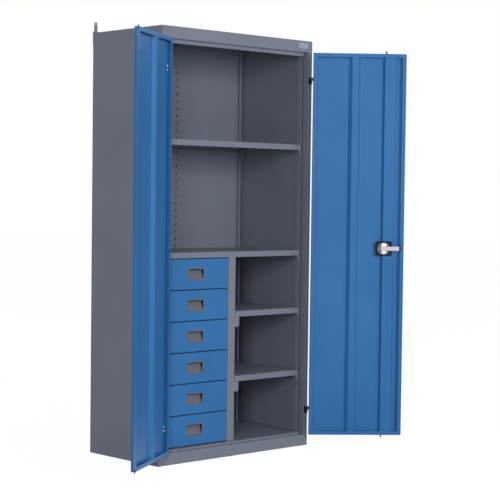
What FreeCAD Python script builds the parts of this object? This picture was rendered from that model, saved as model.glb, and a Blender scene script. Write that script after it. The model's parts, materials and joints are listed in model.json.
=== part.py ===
"""Two-door tool cabinet of folded sheet steel, millimetres, +Z up.

The carcass is a set of folded sheets: two side panels with front stiles, a back, a top
with a fascia, a floor and a plinth. Slotted uprights carry shelf brackets; a partition
and a side sheet carry the rails of six drawers. Two inset doors hang on outside hinges.
The right door carries a three-point lock: a tongue and two rods moved by a crank.

The origin is on the floor, at mid-width, under the middle of the plinth's foot flange.
The doors are drawn closed and then swung open to the angles at which they rest.
"""
import FreeCAD
import Part
import math
import os

# Overall size
cabinet_height = 1950.0
cabinet_width = 950.0
cabinet_depth = 490.0

# Sheet metal; a bend's radius is that of its outside
sheet = 1.0
bend = 2.0
overrun = 10.0

# Carcass front
stile_width = 25.0
stile_return = 31.0
fascia_height = 54.0
fascia_lip = 18.0
fascia_top_hem = 14.0
plinth_height = 54.0
plinth_ledge_hem = 14.0
foot_flange = 30.0
door_recess = 20.0
floor_rise = 10.0
lip_end_gap = 12.0
floor_notch_gap = 2.0

# Carcass rear
rear_flange = 25.0
top_rear_lip = 21.0
floor_rear_lip = 20.0
rear_upright_depth = 16.0
rear_upright_foot = 20.0
rear_upright_hem = 10.0
rear_upright_step = 1.0
centre_groove_half = 16.0
centre_face = 30.0
centre_foot = 10.0
rear_corner_gap = 3.0

# Slots for shelf hooks
slot_width = 4.0
slot_height = 9.0
slot_pitch = 35.0
slot_first = 55.0
slot_end_margin = 60.0
centre_slot_inset = 10.0
spare_slot_count = 1

# Front uprights
front_upright_start = 44.0
front_upright_face = 30.0
front_upright_step = 1.0

# Shelves, partition and drawer bank
shelf_recess = 40.0
shelf_thickness = 26.0
shelf_hem = 12.0
shelf_end_gap = 2.0
shelf_back_gap = 3.0
upper_shelf_top = 1456.0
middle_shelf_top = 947.0
right_upper_shelf_top = 668.0
right_lower_shelf_top = 365.0
partition_width = 45.0
bank_side_depth = 22.0

# Shelf brackets
bracket_gauge = 1.5
bracket_reach = 15.0
bracket_drop = 47.0
bracket_setback = 1.0
rear_bracket_length = 43.0
rear_bracket_tail = 4.0
hook_depth = 3.0
hook_drop = 25.0
hook_clearance = 0.5
partition_bracket_reach = 27.0
partition_bracket_corner = 8.0

# Wall lugs
lug_gauge = 3.0
lug_base_width = 41.0
lug_base_drop = 60.0
lug_shoulder = 6.0
lug_neck_width = 17.0
lug_rise = 50.0
lug_neck_inset = 15.5
lug_hole_radius = 4.0
lug_eye_flat = 1.0

# Doors
door_depth = 19.0
door_side_gap = 1.0
door_end_gap = 3.0
door_meeting_gap = 3.0
door_lip = 18.0
door_edge_radius = 2.0
door_corner_relief = 6.0
right_open_angle = 140.0
left_open_angle = 149.0

# Door stiffener; its middle lies at a share of the door's width from the hinge edge
stiffener_share = 0.436
stiffener_slope = 16.0
stiffener_crown = 30.0
stiffener_height = 14.0
stiffener_foot = 8.0

# Lock channel; it starts on the hinge side of the lock's hub
channel_lead = 15.0
channel_near_slope = 10.0
channel_crown = 50.0
channel_far_slope = 4.0
channel_height = 15.0
channel_foot = 8.0

# Hinges
hinge_height = 30.0
hinge_top_inset = 132.0
hinge_bottom_inset = 118.0
hinge_axis_outset = 7.5
hinge_axis_forward = 11.0
knuckle_radius = 5.5
knuckle_gap = 0.3
pin_radius = 2.5
pin_clearance = 0.05
leaf_thickness = 4.0
leaf_width = 20.0
leaf_edge = 1.5
leaf_web = 11.0

# Lock; its hub is measured from the meeting edge of the door
hub_inset = 96.5
hub_height = 960.0
housing_width = 78.0
housing_height = 70.0
housing_corner = 14.0
housing_proud = 1.0
housing_floor = 5.0
housing_recess_radius = 30.0
housing_clearance = 0.5
crank_radius = 12.0
crank_disc_radius = 15.5
crank_pin_radius = 2.5
spindle_side = 7.0
spindle_clearance = 0.06
spindle_out = 11.0
rod_width = 10.0
rod_gauge = 4.0
rod_depth = 8.0
rod_clearance = 0.5
rod_layer_gap = 0.5
rod_top_throw = 14.0
rod_bottom_throw = 11.0
rod_tip_taper = 12.0
rod_tip_width = 4.0
yoke_web = 4.0
yoke_near = 6.0
yoke_hook_start = 8.0
yoke_hook_web = 3.0
yoke_rise = 2.6
yoke_play = 0.3
yoke_post_play = 0.7
tongue_length = 81.0
tongue_root_width = 16.0
tongue_end_width = 22.0
tongue_gauge = 4.0
tongue_gap = 0.6
tongue_corner = 2.0
spindle_proud = 2.0
strike_clearance = 2.0

# Outside handle
escutcheon_width = 44.0
escutcheon_height = 64.0
escutcheon_cut = 10.0
escutcheon_gauge = 6.0
handle_gap = 0.3
handle_hub_radius = 15.0
handle_height = 18.0
handle_length = 100.0
handle_root_width = 22.0
handle_end_width = 16.0
handle_lever_gauge = 10.0
handle_cut = 5.0

# Meeting strip and bolts of the left door
strip_gauge = 1.0
strip_seat = 16.0
strip_overlap = 24.0
strip_joggle = 0.6
strip_joggle_run = 3.0
strip_end_gap = 6.0
bolt_inset = 22.5
bolt_width = 8.0
bolt_gauge = 4.0
bolt_length = 129.0
bolt_throw = 9.0
bolt_tip_taper = 8.0
bolt_tip_width = 4.0
bolt_knob_radius = 4.0
bolt_knob_height = 7.0
bolt_knob_inset = 20.0
bolt_play = 0.3
guide_length = 40.0
guide_inset = 40.0
guide_foot = 9.0

# Drawers
drawer_count = 6
drawer_row_gap = 4.0
drawer_side_gap = 2.0
drawer_front_depth = 18.0
drawer_front_lip = 20.0
drawer_edge_chamfer = 1.0
tray_depth = 385.0
tray_height = 100.0
tray_lift = 14.0
tray_side_space = 13.0
runner_rise = 45.0
runner_gauge = 2.0
rail_gauge = 1.2
rail_depth = 9.0
rail_height = 8.0
rail_play = 0.4
rail_end_play = 0.6
rail_setback = 22.0
rail_length = 385.0
cup_width = 100.0
cup_height = 55.0
cup_rim = 3.5
cup_proud = 1.5
cup_wall = 1.5
cup_depth = 15.0
cup_cut = 2.0
cup_floor_share = 0.72
cup_toe = 3.0

# Derived positions
front = -foot_flange / 2
back = front + cabinet_depth
half_width = cabinet_width / 2
wall_x = half_width - sheet
opening_x = half_width - stile_width
opening_top = cabinet_height - fascia_height
floor_top = plinth_height + floor_rise
lip_x = opening_x - lip_end_gap
stop_y = front + door_recess
flange_y = back - sheet - sheet
upright_top = cabinet_height - top_rear_lip - sheet
shelf_front = front + shelf_recess
rear_upright_x = half_width - rear_flange - rear_upright_step
rear_upright_y = flange_y - rear_upright_depth
front_upright_x = opening_x + front_upright_step
shelf_end_x = opening_x - shelf_end_gap
shelf_rear = rear_upright_y - shelf_back_gap
middle_shelf_bottom = middle_shelf_top - shelf_thickness
door_hinge_x = opening_x - door_side_gap
door_free_x = door_meeting_gap / 2
door_bottom = plinth_height + door_end_gap
door_top = opening_top - door_end_gap
door_back = front + door_depth
skin_back = front + sheet
hinge_x = opening_x + hinge_axis_outset
hinge_y = front - hinge_axis_forward
hub_x = door_free_x + hub_inset
door_width = door_hinge_x - door_free_x
rod_front = front + rod_depth
rod_back = rod_front + rod_gauge
housing_back = door_back + housing_proud
strip_back = door_back + strip_gauge + strip_joggle
tongue_front = strip_back + tongue_gap
spindle_turn_radius = math.hypot(spindle_side, spindle_side) / 2 + spindle_clearance
bolt_x = -door_free_x - bolt_inset
bank_left = -opening_x + bank_side_depth
bank_right = -partition_width / 2
drawer_left = bank_left + drawer_side_gap
drawer_right = bank_right - drawer_side_gap
drawer_centre = (drawer_left + drawer_right) / 2
rail_centre = (bank_left + bank_right) / 2
drawer_height = (middle_shelf_bottom - floor_top - (drawer_count + 1) * drawer_row_gap) / drawer_count


def vec(x, y, z):
    """A point or direction."""
    return FreeCAD.Vector(x, y, z)


def block(x0, x1, y0, y1, z0, z1):
    """A box between two corners."""
    return Part.makeBox(x1 - x0, y1 - y0, z1 - z0, vec(x0, y0, z0))


def rod_along_y(x, z, radius, y0, y1):
    """A round bar along Y."""
    return Part.makeCylinder(radius, y1 - y0, vec(x, y0, z), vec(0, 1, 0))


def rod_along_z(x, y, radius, z0, z1):
    """A round bar along Z."""
    return Part.makeCylinder(radius, z1 - z0, vec(x, y, z0), vec(0, 0, 1))


def in_space(point, plane, offset):
    """Lifts a point of a flat outline into space."""
    a, b = point
    if plane == "xy":
        return vec(a, b, offset)
    if plane == "yz":
        return vec(offset, a, b)
    return vec(a, offset, b)


def outline_edges(corners, radii):
    """Edges of a closed outline whose corners are rounded by the given radii."""
    count = len(corners)
    starts = []
    ends = []
    middles = []
    for i in range(count):
        corner = corners[i]
        if radii[i] == 0:
            starts.append(corner)
            ends.append(corner)
            middles.append(None)
            continue
        toward_last = (corners[i - 1] - corner).normalize()
        toward_next = (corners[(i + 1) % count] - corner).normalize()
        half = math.acos(max(-1, min(1, toward_last.dot(toward_next)))) / 2
        inward = (toward_last + toward_next).normalize()
        starts.append(corner + toward_last * (radii[i] / math.tan(half)))
        ends.append(corner + toward_next * (radii[i] / math.tan(half)))
        middles.append(corner + inward * (radii[i] / math.sin(half) - radii[i]))
    edges = []
    for i in range(count):
        if middles[i] is not None:
            edges.append(Part.Arc(starts[i], middles[i], ends[i]).toShape())
        following = starts[(i + 1) % count]
        edges.append(Part.LineSegment(ends[i], following).toShape())
    return edges


def prism(points, plane, start, end, radii=None):
    """A flat outline with rounded corners, extruded square to its plane."""
    corners = [in_space(point, plane, start) for point in points]
    radii = radii or [0] * len(corners)
    face = Part.Face(Part.Wire(outline_edges(corners, radii)))
    return face.extrude(in_space((0, 0), plane, end - start))


def folded(path, plane, start, end, gauge=sheet, radius=bend):
    """A sheet folded along a path, with its thickness to the left of the path.

    Each fold is sharp inside and has the given radius outside.
    """
    flat = [vec(a, b, 0) for a, b in path]
    runs = [(flat[i + 1] - flat[i]).normalize() for i in range(len(flat) - 1)]
    normals = [vec(-run.y, run.x, 0) for run in runs]
    inner = [flat[0] + normals[0] * gauge]
    path_radii = [0]
    inner_radii = [0]
    for i in range(1, len(flat) - 1):
        before = normals[i - 1]
        after = normals[i]
        inner.append(flat[i] + (before + after) * (gauge / (1 + before.dot(after))))
        turns_left = runs[i - 1].cross(runs[i]).z > 0
        path_radii.append(radius if turns_left else 0)
        inner_radii.append(0 if turns_left else radius)
    inner.append(flat[-1] + normals[-1] * gauge)
    path_radii.append(0)
    inner_radii.append(0)
    points = flat + inner[::-1]
    radii = path_radii + inner_radii[::-1]
    return prism([(p.x, p.y) for p in points], plane, start, end, radii)


def mirrored(shape, x=0):
    """The shape reflected across a plane square to X."""
    return shape.mirror(vec(x, 0, 0), vec(1, 0, 0))


def joined(shapes):
    """Several touching shapes made one solid."""
    whole = shapes[0].multiFuse(shapes[1:])
    return whole.removeSplitter()


def swung(shape, side):
    """A piece of a closed door, turned to where the door rests open.

    Side is 1 for the right door and -1 for the left one.
    """
    turned = shape.copy()
    angle = right_open_angle if side > 0 else left_open_angle
    turned.rotate(vec(side * hinge_x, hinge_y, 0), vec(0, 0, 1), side * angle)
    return turned


def save(name, shape):
    """Writes one named piece, or one group of like pieces."""
    shape.exportStep("parts/" + name + ".step")


right_shelf_tops = (right_upper_shelf_top, right_lower_shelf_top)
wall_shelf_tops = (upper_shelf_top, middle_shelf_top) + right_shelf_tops


def column_levels(z0, z1):
    """Heights of the slots of a full column between two levels."""
    first = z0 + slot_first
    count = int((z1 - slot_end_margin - first) / slot_pitch) + 1
    return [first + i * slot_pitch for i in range(count)]


def bracket_slot_levels(tops):
    """Heights of the slots that hold the brackets of some shelves, with spare ones beside them."""
    spares = range(-spare_slot_count, spare_slot_count + 1)
    return [hook_level(top - shelf_thickness) + i * slot_pitch for top in tops for i in spares]


def hook_level(ledge):
    """Height of the hook of a bracket whose ledge is given."""
    return ledge - hook_drop


def slots_facing_x(levels, x0, x1, y):
    """Cutters for a column of slots through a wall square to X."""
    return Part.makeCompound([
        block(x0 - overrun, x1 + overrun, y - slot_width / 2, y + slot_width / 2,
              z - slot_height / 2, z + slot_height / 2)
        for z in levels
    ])


def slots_facing_y(levels, x, y0, y1):
    """Cutters for a column of slots through a wall square to Y."""
    return Part.makeCompound([
        block(x - slot_width / 2, x + slot_width / 2, y0, y1,
              z - slot_height / 2, z + slot_height / 2)
        for z in levels
    ])


def side_panel():
    """Right side: wall, front stile with its return, and rear flange, in one sheet."""
    path = [
        (opening_x, front + stile_return),
        (opening_x, front),
        (half_width, front),
        (half_width, back - sheet),
        (half_width - rear_flange, back - sheet),
    ]
    panel = folded(path, "xy", 0, cabinet_height)
    for z0, z1 in ((-overrun, plinth_height), (opening_top, cabinet_height + overrun)):
        panel = panel.cut(block(opening_x - overrun, wall_x, front - overrun,
                                front + stile_return + overrun, z0, z1))
    return panel


def strike_hole(x, width, y0, y1, z0, z1):
    """Cutter for the hole that a rod or bolt enters."""
    return block(x - width / 2 - strike_clearance, x + width / 2 + strike_clearance,
                 y0 - strike_clearance, y1 + strike_clearance, z0 - overrun / 2, z1 + overrun / 2)


def top_fascia():
    """Front band of the top, with the ledge over the doors and the lip that stops them."""
    path = [
        (front + fascia_top_hem, cabinet_height - sheet),
        (front, cabinet_height - sheet),
        (front, opening_top),
        (stop_y, opening_top),
        (stop_y, opening_top - fascia_lip),
    ]
    band = folded(path, "yz", -wall_x, wall_x)
    for x0, x1 in ((-wall_x - overrun, -lip_x), (lip_x, wall_x + overrun)):
        band = band.cut(block(x0, x1, front - overrun, stop_y + overrun,
                              opening_top - fascia_lip - overrun, opening_top))
    band = band.cut(strike_hole(hub_x, rod_width, rod_front, rod_back, opening_top, opening_top + sheet))
    return band.cut(strike_hole(bolt_x, bolt_width, rod_front, rod_front + bolt_gauge,
                                opening_top, opening_top + sheet))


def rear_corners_cleared(panel):
    """A sheet between the sides, with its rear corners cut clear of their rear bends."""
    inset = wall_x - rear_corner_gap
    for x0, x1 in ((-wall_x - overrun, -inset), (inset, wall_x + overrun)):
        panel = panel.cut(block(x0, x1, flange_y - rear_corner_gap, back, 0, cabinet_height + overrun))
    return panel


def top_panel():
    """Top sheet with its rear lip."""
    path = [
        (flange_y, cabinet_height - top_rear_lip),
        (flange_y, cabinet_height),
        (front, cabinet_height),
    ]
    return rear_corners_cleared(folded(path, "yz", -wall_x, wall_x))


def plinth():
    """Front band of the base: foot flange, face, and the ledge under the doors."""
    ledge_back = stop_y + plinth_ledge_hem
    path = [
        (ledge_back, plinth_height - plinth_ledge_hem),
        (ledge_back, plinth_height),
        (front, plinth_height),
        (front, 0),
        (front + foot_flange, 0),
    ]
    band = folded(path, "yz", -wall_x, wall_x)
    band = band.cut(strike_hole(hub_x, rod_width, rod_front, rod_back, plinth_height - sheet, plinth_height))
    return band.cut(strike_hole(bolt_x, bolt_width, rod_front, rod_front + bolt_gauge,
                                plinth_height - sheet, plinth_height))


def floor_panel():
    """Floor sheet with a front lip on the plinth ledge and a rear lip."""
    path = [
        (flange_y, floor_top - floor_rear_lip),
        (flange_y, floor_top),
        (stop_y, floor_top),
        (stop_y, plinth_height),
    ]
    panel = folded(path, "yz", -wall_x, wall_x)
    notch_back = front + stile_return + floor_notch_gap
    for x0, x1 in ((-wall_x - overrun, -lip_x), (lip_x, wall_x + overrun)):
        panel = panel.cut(block(x0, x1, front - overrun, notch_back, 0, floor_top + overrun))
    return rear_corners_cleared(panel)


def rear_upright():
    """Right rear corner upright: foot on the side flange, slotted web, front hem."""
    path = [
        (rear_upright_x + rear_upright_foot, flange_y),
        (rear_upright_x, flange_y),
        (rear_upright_x, rear_upright_y),
        (rear_upright_x + rear_upright_hem, rear_upright_y),
    ]
    post = folded(path, "xy", floor_top, upright_top)
    middle = (rear_upright_y + flange_y) / 2
    levels = bracket_slot_levels(wall_shelf_tops)
    return post.cut(slots_facing_x(levels, rear_upright_x, rear_upright_x + sheet, middle))


def centre_upright():
    """Rear centre upright: two slotted faces beside a groove, welded to the back."""
    base = back - sheet - sheet
    crest = base - rear_upright_depth
    outer = centre_groove_half + centre_face
    path = [
        (-outer - centre_foot, base),
        (-outer, base),
        (-outer, crest),
        (-centre_groove_half, crest),
        (-centre_groove_half, base),
        (centre_groove_half, base),
        (centre_groove_half, crest),
        (outer, crest),
        (outer, base),
        (outer + centre_foot, base),
    ]
    post = folded(path, "xy", floor_top, upright_top)
    levels = column_levels(floor_top, upright_top)
    for side in (-1, 1):
        x = side * (centre_groove_half + centre_slot_inset)
        post = post.cut(slots_facing_y(levels, x, crest - sheet, crest + sheet + sheet))
    return post


def front_upright():
    """Right front upright: a slotted channel standing on the side wall."""
    y0 = front + front_upright_start
    y1 = y0 + front_upright_face
    path = [(wall_x, y1), (front_upright_x, y1), (front_upright_x, y0), (wall_x, y0)]
    post = folded(path, "xy", floor_top, cabinet_height - sheet)
    levels = bracket_slot_levels(wall_shelf_tops)
    return post.cut(slots_facing_x(levels, front_upright_x, front_upright_x + sheet, (y0 + y1) / 2))


def partition():
    """Partition below the middle shelf: a deep channel open at the back."""
    half = partition_width / 2
    path = [(-half, shelf_rear), (-half, shelf_front), (half, shelf_front), (half, shelf_rear)]
    wall = folded(path, "xy", floor_top, middle_shelf_bottom)
    levels = bracket_slot_levels(right_shelf_tops)
    for y in (front_hook_y(), rear_hook_y()):
        wall = wall.cut(slots_facing_x(levels, half, half, y))
    return wall


def bank_side():
    """Sheet on the left of the drawers, bent to stand on the front upright."""
    path = [
        (-front_upright_x, shelf_front),
        (bank_left, shelf_front),
        (bank_left, shelf_rear),
        (-rear_upright_x, shelf_rear),
    ]
    return folded(path, "xy", floor_top, middle_shelf_bottom)


def shelf(x0, x1, top):
    """A shelf pan: four turned-down edges, the long ones hemmed inward."""
    bottom = top - shelf_thickness
    pan = block(x0, x1, shelf_front, shelf_rear, bottom, top)
    hollow = block(x0 + sheet, x1 - sheet, shelf_front + sheet, shelf_rear - sheet,
                   bottom + sheet, top - sheet)
    mouth = block(x0 + sheet, x1 - sheet, shelf_front + shelf_hem, shelf_rear - shelf_hem,
                  bottom - overrun, top - sheet)
    return pan.cut(hollow).cut(mouth)


def front_hook_y():
    """Depth at which the front brackets hook in."""
    return front + front_upright_start + front_upright_face / 2


def rear_hook_y():
    """Depth at which the rear brackets hook into the partition."""
    return shelf_rear - (front_hook_y() - shelf_front)


def hook(ledge, x0, x1, y):
    """A tab through the slot below a bracket's ledge."""
    level = hook_level(ledge)
    half_width_y = slot_width / 2 - hook_clearance
    half_height = slot_height / 2 - hook_clearance
    return block(x0, x1, y - half_width_y, y + half_width_y, level - half_height, level + half_height)


def wall_bracket(ledge, web_x, y0, y1, hook_y):
    """A bracket on the right wall: ledge, plate on the upright, front gusset and hook."""
    inner = web_x - bracket_reach
    parts = [
        block(inner, web_x, y0, y1, ledge - bracket_gauge, ledge),
        block(web_x - bracket_gauge, web_x, y0, y1, ledge - bracket_drop, ledge),
        prism([(inner, ledge), (web_x, ledge), (web_x, ledge - bracket_drop),
               (web_x - bracket_gauge, ledge - bracket_drop)], "xz", y0, y0 + bracket_gauge),
        hook(ledge, web_x - bracket_gauge, web_x + hook_depth, hook_y),
    ]
    return joined(parts)


def wall_brackets():
    """Front and rear brackets on both walls."""
    front_start = shelf_front + bracket_setback
    front_end = front + front_upright_start + front_upright_face
    rear_end = flange_y - rear_bracket_tail
    rear_start = rear_end - rear_bracket_length
    rear_y = (rear_upright_y + flange_y) / 2
    right = []
    for top in wall_shelf_tops:
        ledge = top - shelf_thickness
        right.append(wall_bracket(ledge, front_upright_x, front_start, front_end, front_hook_y()))
        right.append(wall_bracket(ledge, rear_upright_x, rear_start, rear_end, rear_y))
    left = [mirrored(bracket) for bracket in right[:2]]
    return Part.makeCompound(right + left)


def partition_bracket(ledge, y0, y1, hook_y):
    """A bracket on the partition: ledge, plate and a front flange with a round corner."""
    wall = partition_width / 2
    outer = wall + partition_bracket_reach
    foot = ledge - bracket_drop
    parts = [
        block(wall, outer, y0, y1, ledge - bracket_gauge, ledge),
        block(wall, wall + bracket_gauge, y0, y1, foot, ledge),
        prism([(wall, ledge), (outer, ledge), (outer, foot), (wall, foot)], "xz", y0, y0 + bracket_gauge,
              [0, 0, partition_bracket_corner, 0]),
        hook(ledge, wall - hook_depth, wall + bracket_gauge, hook_y),
    ]
    return joined(parts)


def partition_brackets():
    """Front and rear brackets of the two right shelves, on the partition."""
    length = front_upright_start + front_upright_face - shelf_recess - bracket_setback
    front_start = shelf_front + bracket_setback
    rear_start = rear_hook_y() - length / 2
    parts = []
    for top in right_shelf_tops:
        ledge = top - shelf_thickness
        parts.append(partition_bracket(ledge, front_start, front_start + length, front_hook_y()))
        parts.append(partition_bracket(ledge, rear_start, rear_start + length, rear_hook_y()))
    return Part.makeCompound(parts)


def wall_lug():
    """Right wall lug: a plate on the back whose necked eye stands above the top."""
    centre = half_width - lug_neck_inset
    half_neck = lug_neck_width / 2
    shoulder = cabinet_height + lug_shoulder
    eye = cabinet_height + lug_rise
    foot = cabinet_height - lug_base_drop
    outline = [
        (half_width, foot),
        (half_width, shoulder),
        (centre + half_neck, shoulder),
        (centre + half_neck, eye),
        (centre - half_neck, eye),
        (centre - half_neck, shoulder),
        (half_width - lug_base_width, shoulder),
        (half_width - lug_base_width, foot),
    ]
    round_eye = half_neck - lug_eye_flat / 2
    plate = prism(outline, "xz", back, back + lug_gauge, [0, 0, 0, round_eye, round_eye, 0, 0, 0])
    return plate.cut(rod_along_y(centre, eye - half_neck, lug_hole_radius,
                                 back - overrun, back + lug_gauge + overrun))


def front_edges(solid, y0):
    """The edges of a box that lie in its front face."""
    return [edge for edge in solid.Edges if all(v.Y == y0 for v in edge.Vertexes)]


def pan(x0, x1, y0, depth, z0, z1, lip, radius=0, chamfer=0):
    """A pressed pan: skin at the front, four returns, and lips turned in at the back."""
    y1 = y0 + depth
    body = block(x0, x1, y0, y1, z0, z1)
    if radius:
        body = body.makeFillet(radius, front_edges(body, y0))
    if chamfer:
        body = body.makeChamfer(chamfer, front_edges(body, y0))
    hollow = block(x0 + sheet, x1 - sheet, y0 + sheet, y1 - sheet, z0 + sheet, z1 - sheet)
    mouth = block(x0 + lip, x1 - lip, y0 + sheet, y1 + overrun, z0 + lip, z1 - lip)
    return body.cut(hollow).cut(mouth)


def door_pan():
    """Right door pan, closed, with the corners of its lips relieved."""
    door = pan(door_free_x, door_hinge_x, front, door_depth, door_bottom, door_top, door_lip,
               radius=door_edge_radius)
    relief = door_corner_relief
    y0 = door_back - relief
    y1 = door_back + overrun
    for x0, x1 in ((door_free_x - overrun, door_free_x + relief),
                   (door_hinge_x - relief, door_hinge_x + overrun)):
        for z0, z1 in ((door_bottom - overrun, door_bottom + relief),
                       (door_top - relief, door_top + overrun)):
            door = door.cut(block(x0, x1, y0, y1, z0, z1))
    return door


def return_hole(x, width, gauge, clearance):
    """Cutter for the holes where a rod or bolt passes the end returns of a door."""
    half = width / 2 + clearance
    y0 = rod_front - clearance
    y1 = rod_front + gauge + clearance
    reach = door_lip / 2
    low = block(x - half, x + half, y0, y1, door_bottom - reach, door_bottom + reach)
    high = block(x - half, x + half, y0, y1, door_top - reach, door_top + reach)
    return Part.makeCompound([low, high])


def right_door_pan():
    """Right door pan with the spindle hole and the rod holes."""
    door = door_pan()
    door = door.cut(return_hole(hub_x, rod_width, rod_gauge, rod_clearance))
    hole = spindle_turn_radius + strike_clearance
    return door.cut(rod_along_y(hub_x, hub_height, hole, front - overrun, skin_back + sheet))


def left_door_pan():
    """Left door pan with the bolt holes."""
    return mirrored(door_pan()).cut(return_hole(bolt_x, bolt_width, bolt_gauge, rod_clearance))


def hat(start, near_slope, crown, far_slope, height, foot):
    """A hat section on the door skin, from where it rises, toward the meeting edge."""
    low = skin_back + sheet
    high = skin_back + height
    crown_start = start - near_slope
    crown_end = crown_start - crown
    fall = crown_end - far_slope
    path = [(start + foot, low), (start, low), (crown_start, high), (crown_end, high), (fall, low),
            (fall - foot, low)]
    return folded(path, "xy", door_bottom + sheet, door_top - sheet)


def door_stiffener():
    """Centre hat section of the right door."""
    middle = door_hinge_x - stiffener_share * door_width
    start = middle + stiffener_crown / 2 + stiffener_slope
    return hat(start, stiffener_slope, stiffener_crown, stiffener_slope, stiffener_height, stiffener_foot)


def lock_channel():
    """Hat section that covers the rods, cut out around the lock housing."""
    channel = hat(hub_x + channel_lead, channel_near_slope, channel_crown, channel_far_slope,
                  channel_height, channel_foot)
    half_x = housing_width / 2 + housing_clearance
    half_z = housing_height / 2 + housing_clearance
    return channel.cut(block(hub_x - half_x, hub_x + half_x, front, door_back + overrun,
                             hub_height - half_z, hub_height + half_z))


def hinge_levels():
    """Mid-heights of the two hinges of a door."""
    return (door_bottom + hinge_bottom_inset, door_top - hinge_top_inset)


def hinge_frame_leaf(level):
    """Right frame leaf: plate on the stile, lower knuckle and the pin."""
    z0 = level - hinge_height / 2
    z1 = level + hinge_height / 2
    middle = level - knuckle_gap / 2
    face = front - leaf_thickness
    plate_x0 = opening_x + leaf_edge
    plate_x1 = half_width - leaf_edge
    plate = block(plate_x0, plate_x1, face, front, z0, z1)
    web = prism([(hinge_x, hinge_y - knuckle_radius), (hinge_x + leaf_web, face),
                 (hinge_x - knuckle_radius, face), (hinge_x - knuckle_radius, hinge_y)],
                "xy", z0, middle)
    knuckle = rod_along_z(hinge_x, hinge_y, knuckle_radius, z0, middle)
    pin = rod_along_z(hinge_x, hinge_y, pin_radius, z0, z1)
    return joined([plate, web, knuckle, pin])


def hinge_door_leaf(level):
    """Right door leaf: plate on the door skin and the upper knuckle with its bore."""
    z0 = level - hinge_height / 2
    z1 = level + hinge_height / 2
    middle = level + knuckle_gap / 2
    face = front - leaf_thickness
    plate_x1 = door_hinge_x - leaf_edge
    plate = block(plate_x1 - leaf_width, plate_x1, face, front, z0, z1)
    web = prism([(hinge_x, hinge_y - knuckle_radius), (hinge_x, hinge_y + knuckle_radius),
                 (plate_x1, face), (plate_x1 - leaf_web, face)], "xy", middle, z1)
    knuckle = rod_along_z(hinge_x, hinge_y, knuckle_radius, middle, z1)
    bore = rod_along_z(hinge_x, hinge_y, pin_radius + pin_clearance, z0 - overrun, z1 + overrun)
    return joined([plate, web, knuckle]).cut(bore)


def lock_housing():
    """Lock case: a rounded box with a round well for the crank and slots for the rods."""
    x0 = hub_x - housing_width / 2
    x1 = hub_x + housing_width / 2
    z0 = hub_height - housing_height / 2
    z1 = hub_height + housing_height / 2
    case = prism([(x0, z0), (x1, z0), (x1, z1), (x0, z1)], "xz", skin_back, housing_back,
                 [housing_corner] * 4)
    well = rod_along_y(hub_x, hub_height, housing_recess_radius, skin_back + housing_floor,
                       housing_back + overrun)
    bore = rod_along_y(hub_x, hub_height, spindle_turn_radius, front, housing_back)
    half = rod_width / 2 + rod_clearance
    slot = block(hub_x - half, hub_x + half, rod_front - rod_clearance, rod_back + rod_clearance,
                 z0 - overrun, z1 + overrun)
    return case.cut(well).cut(bore).cut(slot)


def square_bar(side, y0, y1):
    """A square bar on the lock's axis."""
    half = side / 2
    return block(hub_x - half, hub_x + half, y0, y1, hub_height - half, hub_height + half)


def lock_crank():
    """Crank: square spindle through the door, and a disc with two pins under it."""
    disc_front = rod_back + rod_layer_gap
    disc_back = tongue_front - spindle_clearance
    parts = [
        square_bar(spindle_side, front - spindle_out, tongue_front + tongue_gauge + spindle_proud),
        rod_along_y(hub_x, hub_height, crank_disc_radius, disc_front, disc_back),
    ]
    for side in (-1, 1):
        parts.append(rod_along_y(hub_x, hub_height + side * crank_radius, crank_pin_radius,
                                 rod_front + rod_layer_gap, disc_front))
    return joined(parts)


def lock_tongue():
    """Tongue: a round end on the spindle and an arm that widens toward the meeting edge."""
    tip = hub_x - tongue_length
    root = tongue_root_width / 2
    end = tongue_end_width / 2
    y0 = tongue_front
    y1 = tongue_front + tongue_gauge
    ring = rod_along_y(hub_x, hub_height, crank_disc_radius, y0, y1)
    arm = prism([(hub_x, hub_height - root), (hub_x, hub_height + root),
                 (tip, hub_height + end), (tip, hub_height - end)], "xz", y0, y1,
                [0, 0, tongue_corner, tongue_corner])
    hole = square_bar(spindle_side + spindle_clearance, y0 - overrun, y1 + overrun)
    return joined([ring, arm]).cut(hole)


def rod(side, end_z):
    """A lock rod with a hooked yoke around its crank pin; side is 1 above, -1 below.

    The yoke is open toward the spindle, so both yokes can pass beside it when they draw in.
    """
    slot_low = crank_radius - crank_pin_radius - yoke_play
    slot_high = crank_radius + crank_pin_radius + yoke_rise
    post = crank_radius + crank_pin_radius + yoke_post_play

    def place(u, w):
        return (hub_x - side * u, hub_height + side * w)

    def bar(u0, u1, w0, w1):
        corners = [place(u0, w0), place(u1, w0), place(u1, w1), place(u0, w1)]
        return prism(corners, "xz", rod_front, rod_back)

    half = rod_width / 2
    tip = half - (rod_width - rod_tip_width) / 2
    reach = abs(end_z - hub_height)
    stem = prism([place(-half, slot_high), place(half, slot_high), place(half, reach - rod_tip_taper),
                  place(tip, reach), place(-tip, reach), place(-half, reach - rod_tip_taper)],
                 "xz", rod_front, rod_back)
    parts = [
        stem,
        bar(-yoke_near, post + yoke_web, slot_high, slot_high + yoke_web),
        bar(post, post + yoke_web, slot_low - yoke_hook_web, slot_high + yoke_web),
        bar(yoke_hook_start, post + yoke_web, slot_low - yoke_hook_web, slot_low),
    ]
    return joined(parts)


def cut_corner_outline(x0, x1, z0, z1, cut):
    """Corners of a rectangle whose own corners are cut off."""
    return [(x0 + cut, z0), (x1 - cut, z0), (x1, z0 + cut), (x1, z1 - cut),
            (x1 - cut, z1), (x0 + cut, z1), (x0, z1 - cut), (x0, z0 + cut)]


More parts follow.
